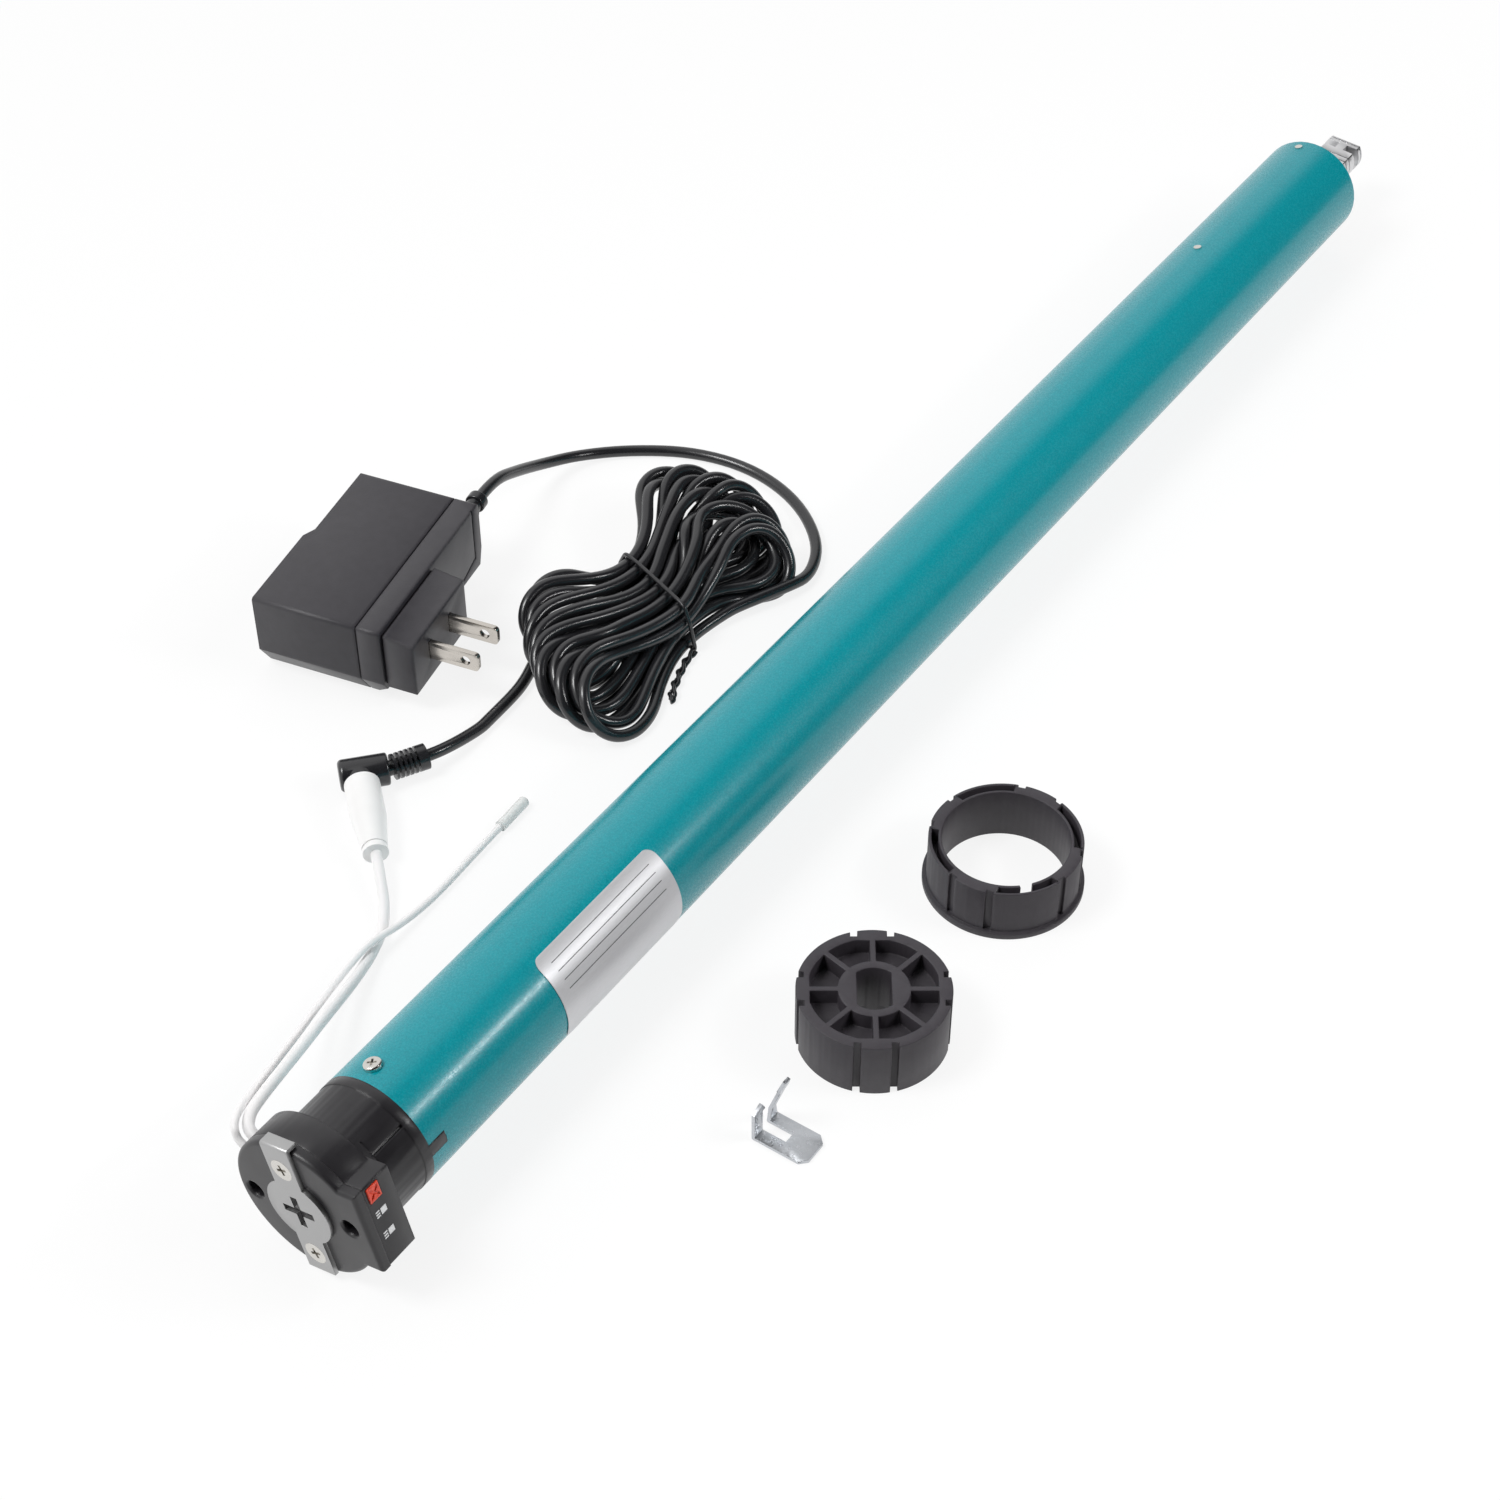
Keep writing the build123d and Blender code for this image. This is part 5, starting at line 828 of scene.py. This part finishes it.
def make_floor():
    """White floor that glows for camera and mirrors and keeps soft shadows."""
    made = bpy.data.materials.new("stage_white")
    made.use_nodes = True
    made.node_tree.nodes.clear()
    path = add_node(made, "ShaderNodeLightPath")
    diffuse = add_node(made, "ShaderNodeBsdfDiffuse", Color=FLOOR_COLOR)
    glow = add_node(made, "ShaderNodeEmission", Color=WHITE)
    seen = add_node(made, "ShaderNodeMath")
    seen.operation = "MAXIMUM"
    share = add_node(made, "ShaderNodeMath")
    share.operation = "MULTIPLY"
    share.inputs[1].default_value = FLOOR_GLOW
    mix = add_node(made, "ShaderNodeMixShader")
    out = add_node(made, "ShaderNodeOutputMaterial")
    link(made, path.outputs["Is Camera Ray"], seen.inputs[0])
    link(made, path.outputs["Is Glossy Ray"], seen.inputs[1])
    link(made, seen.outputs[0], share.inputs[0])
    link(made, share.outputs[0], mix.inputs["Fac"])
    link(made, diffuse.outputs[0], mix.inputs[1])
    link(made, glow.outputs[0], mix.inputs[2])
    link(made, mix.outputs[0], out.inputs["Surface"])

    mesh = bpy.data.meshes.new("stage_floor")
    corners = [(x * FLOOR_SIZE, y * FLOOR_SIZE, FLOOR_Z)
               for x, y in ((-1, -1), (1, -1), (1, 1), (-1, 1))]
    mesh.from_pydata(corners, [], [(0, 1, 2, 3)])
    mesh.materials.append(made)
    floor = put("stage_floor", mesh)


def make_world():
    """World that is pale behind the tube and dark before it, and white to the camera."""
    world = bpy.data.worlds.new("studio")
    bpy.context.scene.world = world
    world.use_nodes = True
    place = add_node(world, "ShaderNodeTexCoord")
    split = add_node(world, "ShaderNodeSeparateXYZ")
    sides = add_node(world, "ShaderNodeMapRange", From_Min=WORLD_SPAN[0], From_Max=WORLD_SPAN[1],
                     To_Min=WORLD_LEVELS[0], To_Max=WORLD_LEVELS[1])
    link(world, place.outputs["Generated"], split.inputs[0])
    link(world, split.outputs["Y"], sides.inputs["Value"])
    look = add_node(world, "ShaderNodeLightPath")
    white = add_node(world, "ShaderNodeMix")
    white.data_type = "RGBA"
    white.inputs["B"].default_value = WHITE
    link(world, look.outputs["Is Camera Ray"], white.inputs["Factor"])
    link(world, sides.outputs["Result"], white.inputs["A"])
    link(world, white.outputs["Result"], world.node_tree.nodes["Background"].inputs["Color"])


def area_light(name, place, target, width, height, power, mirrored=True):
    """A softbox aimed at a point, its width along the motor; one not mirrored only lights."""
    light = bpy.data.lights.new(name, "AREA")
    light.shape = "RECTANGLE"
    light.size = width
    light.size_y = height
    light.energy = power
    lamp = put(name, light)
    lamp.location = place
    lamp.visible_glossy = mirrored
    back = (Vector(place) - Vector(target)).normalized()
    side = (Vector((1, 0, 0)) - back * back.x).normalized()
    lamp.rotation_euler = Matrix((side, back.cross(side), back)).transposed().to_euler()


def make_lights():
    """A soft key from above the far side, a fill from the near side and a strip on the head."""
    area_light("key", (-0.5, 0.6, 1.3), PART_MIDDLE, width=0.5, height=0.5, power=12)
    area_light("fill", (0.9, -1.0, 1.0), PART_MIDDLE, width=1.2, height=0.8, power=10, mirrored=False)
    area_light("head_strip", (0.40, -0.482, 0.398), HEAD_TOP, width=0.16, height=0.05, power=0.9)


def make_camera():
    """Camera at the photograph's angle."""
    camera = bpy.data.cameras.new("photo_camera")
    camera.lens = CAMERA_LENS
    camera.sensor_width = CAMERA_SENSOR
    camera.clip_start = CAMERA_CLIP
    seen = put("photo_camera", camera)
    forward = CAMERA_FORWARD.normalized()
    right = CAMERA_RIGHT.normalized()
    up = right.cross(forward)
    turn = Matrix((right, up, -forward)).transposed()
    seen.matrix_world = Matrix.Translation(CAMERA_PLACE) @ turn.to_4x4()
    bpy.context.scene.camera = seen


make_camera()
dress_nodes()
make_cords()
make_panel_marks()
make_label_rules()
make_floor()
make_world()
make_lights()
bpy.context.scene.view_settings.view_transform = "Standard"
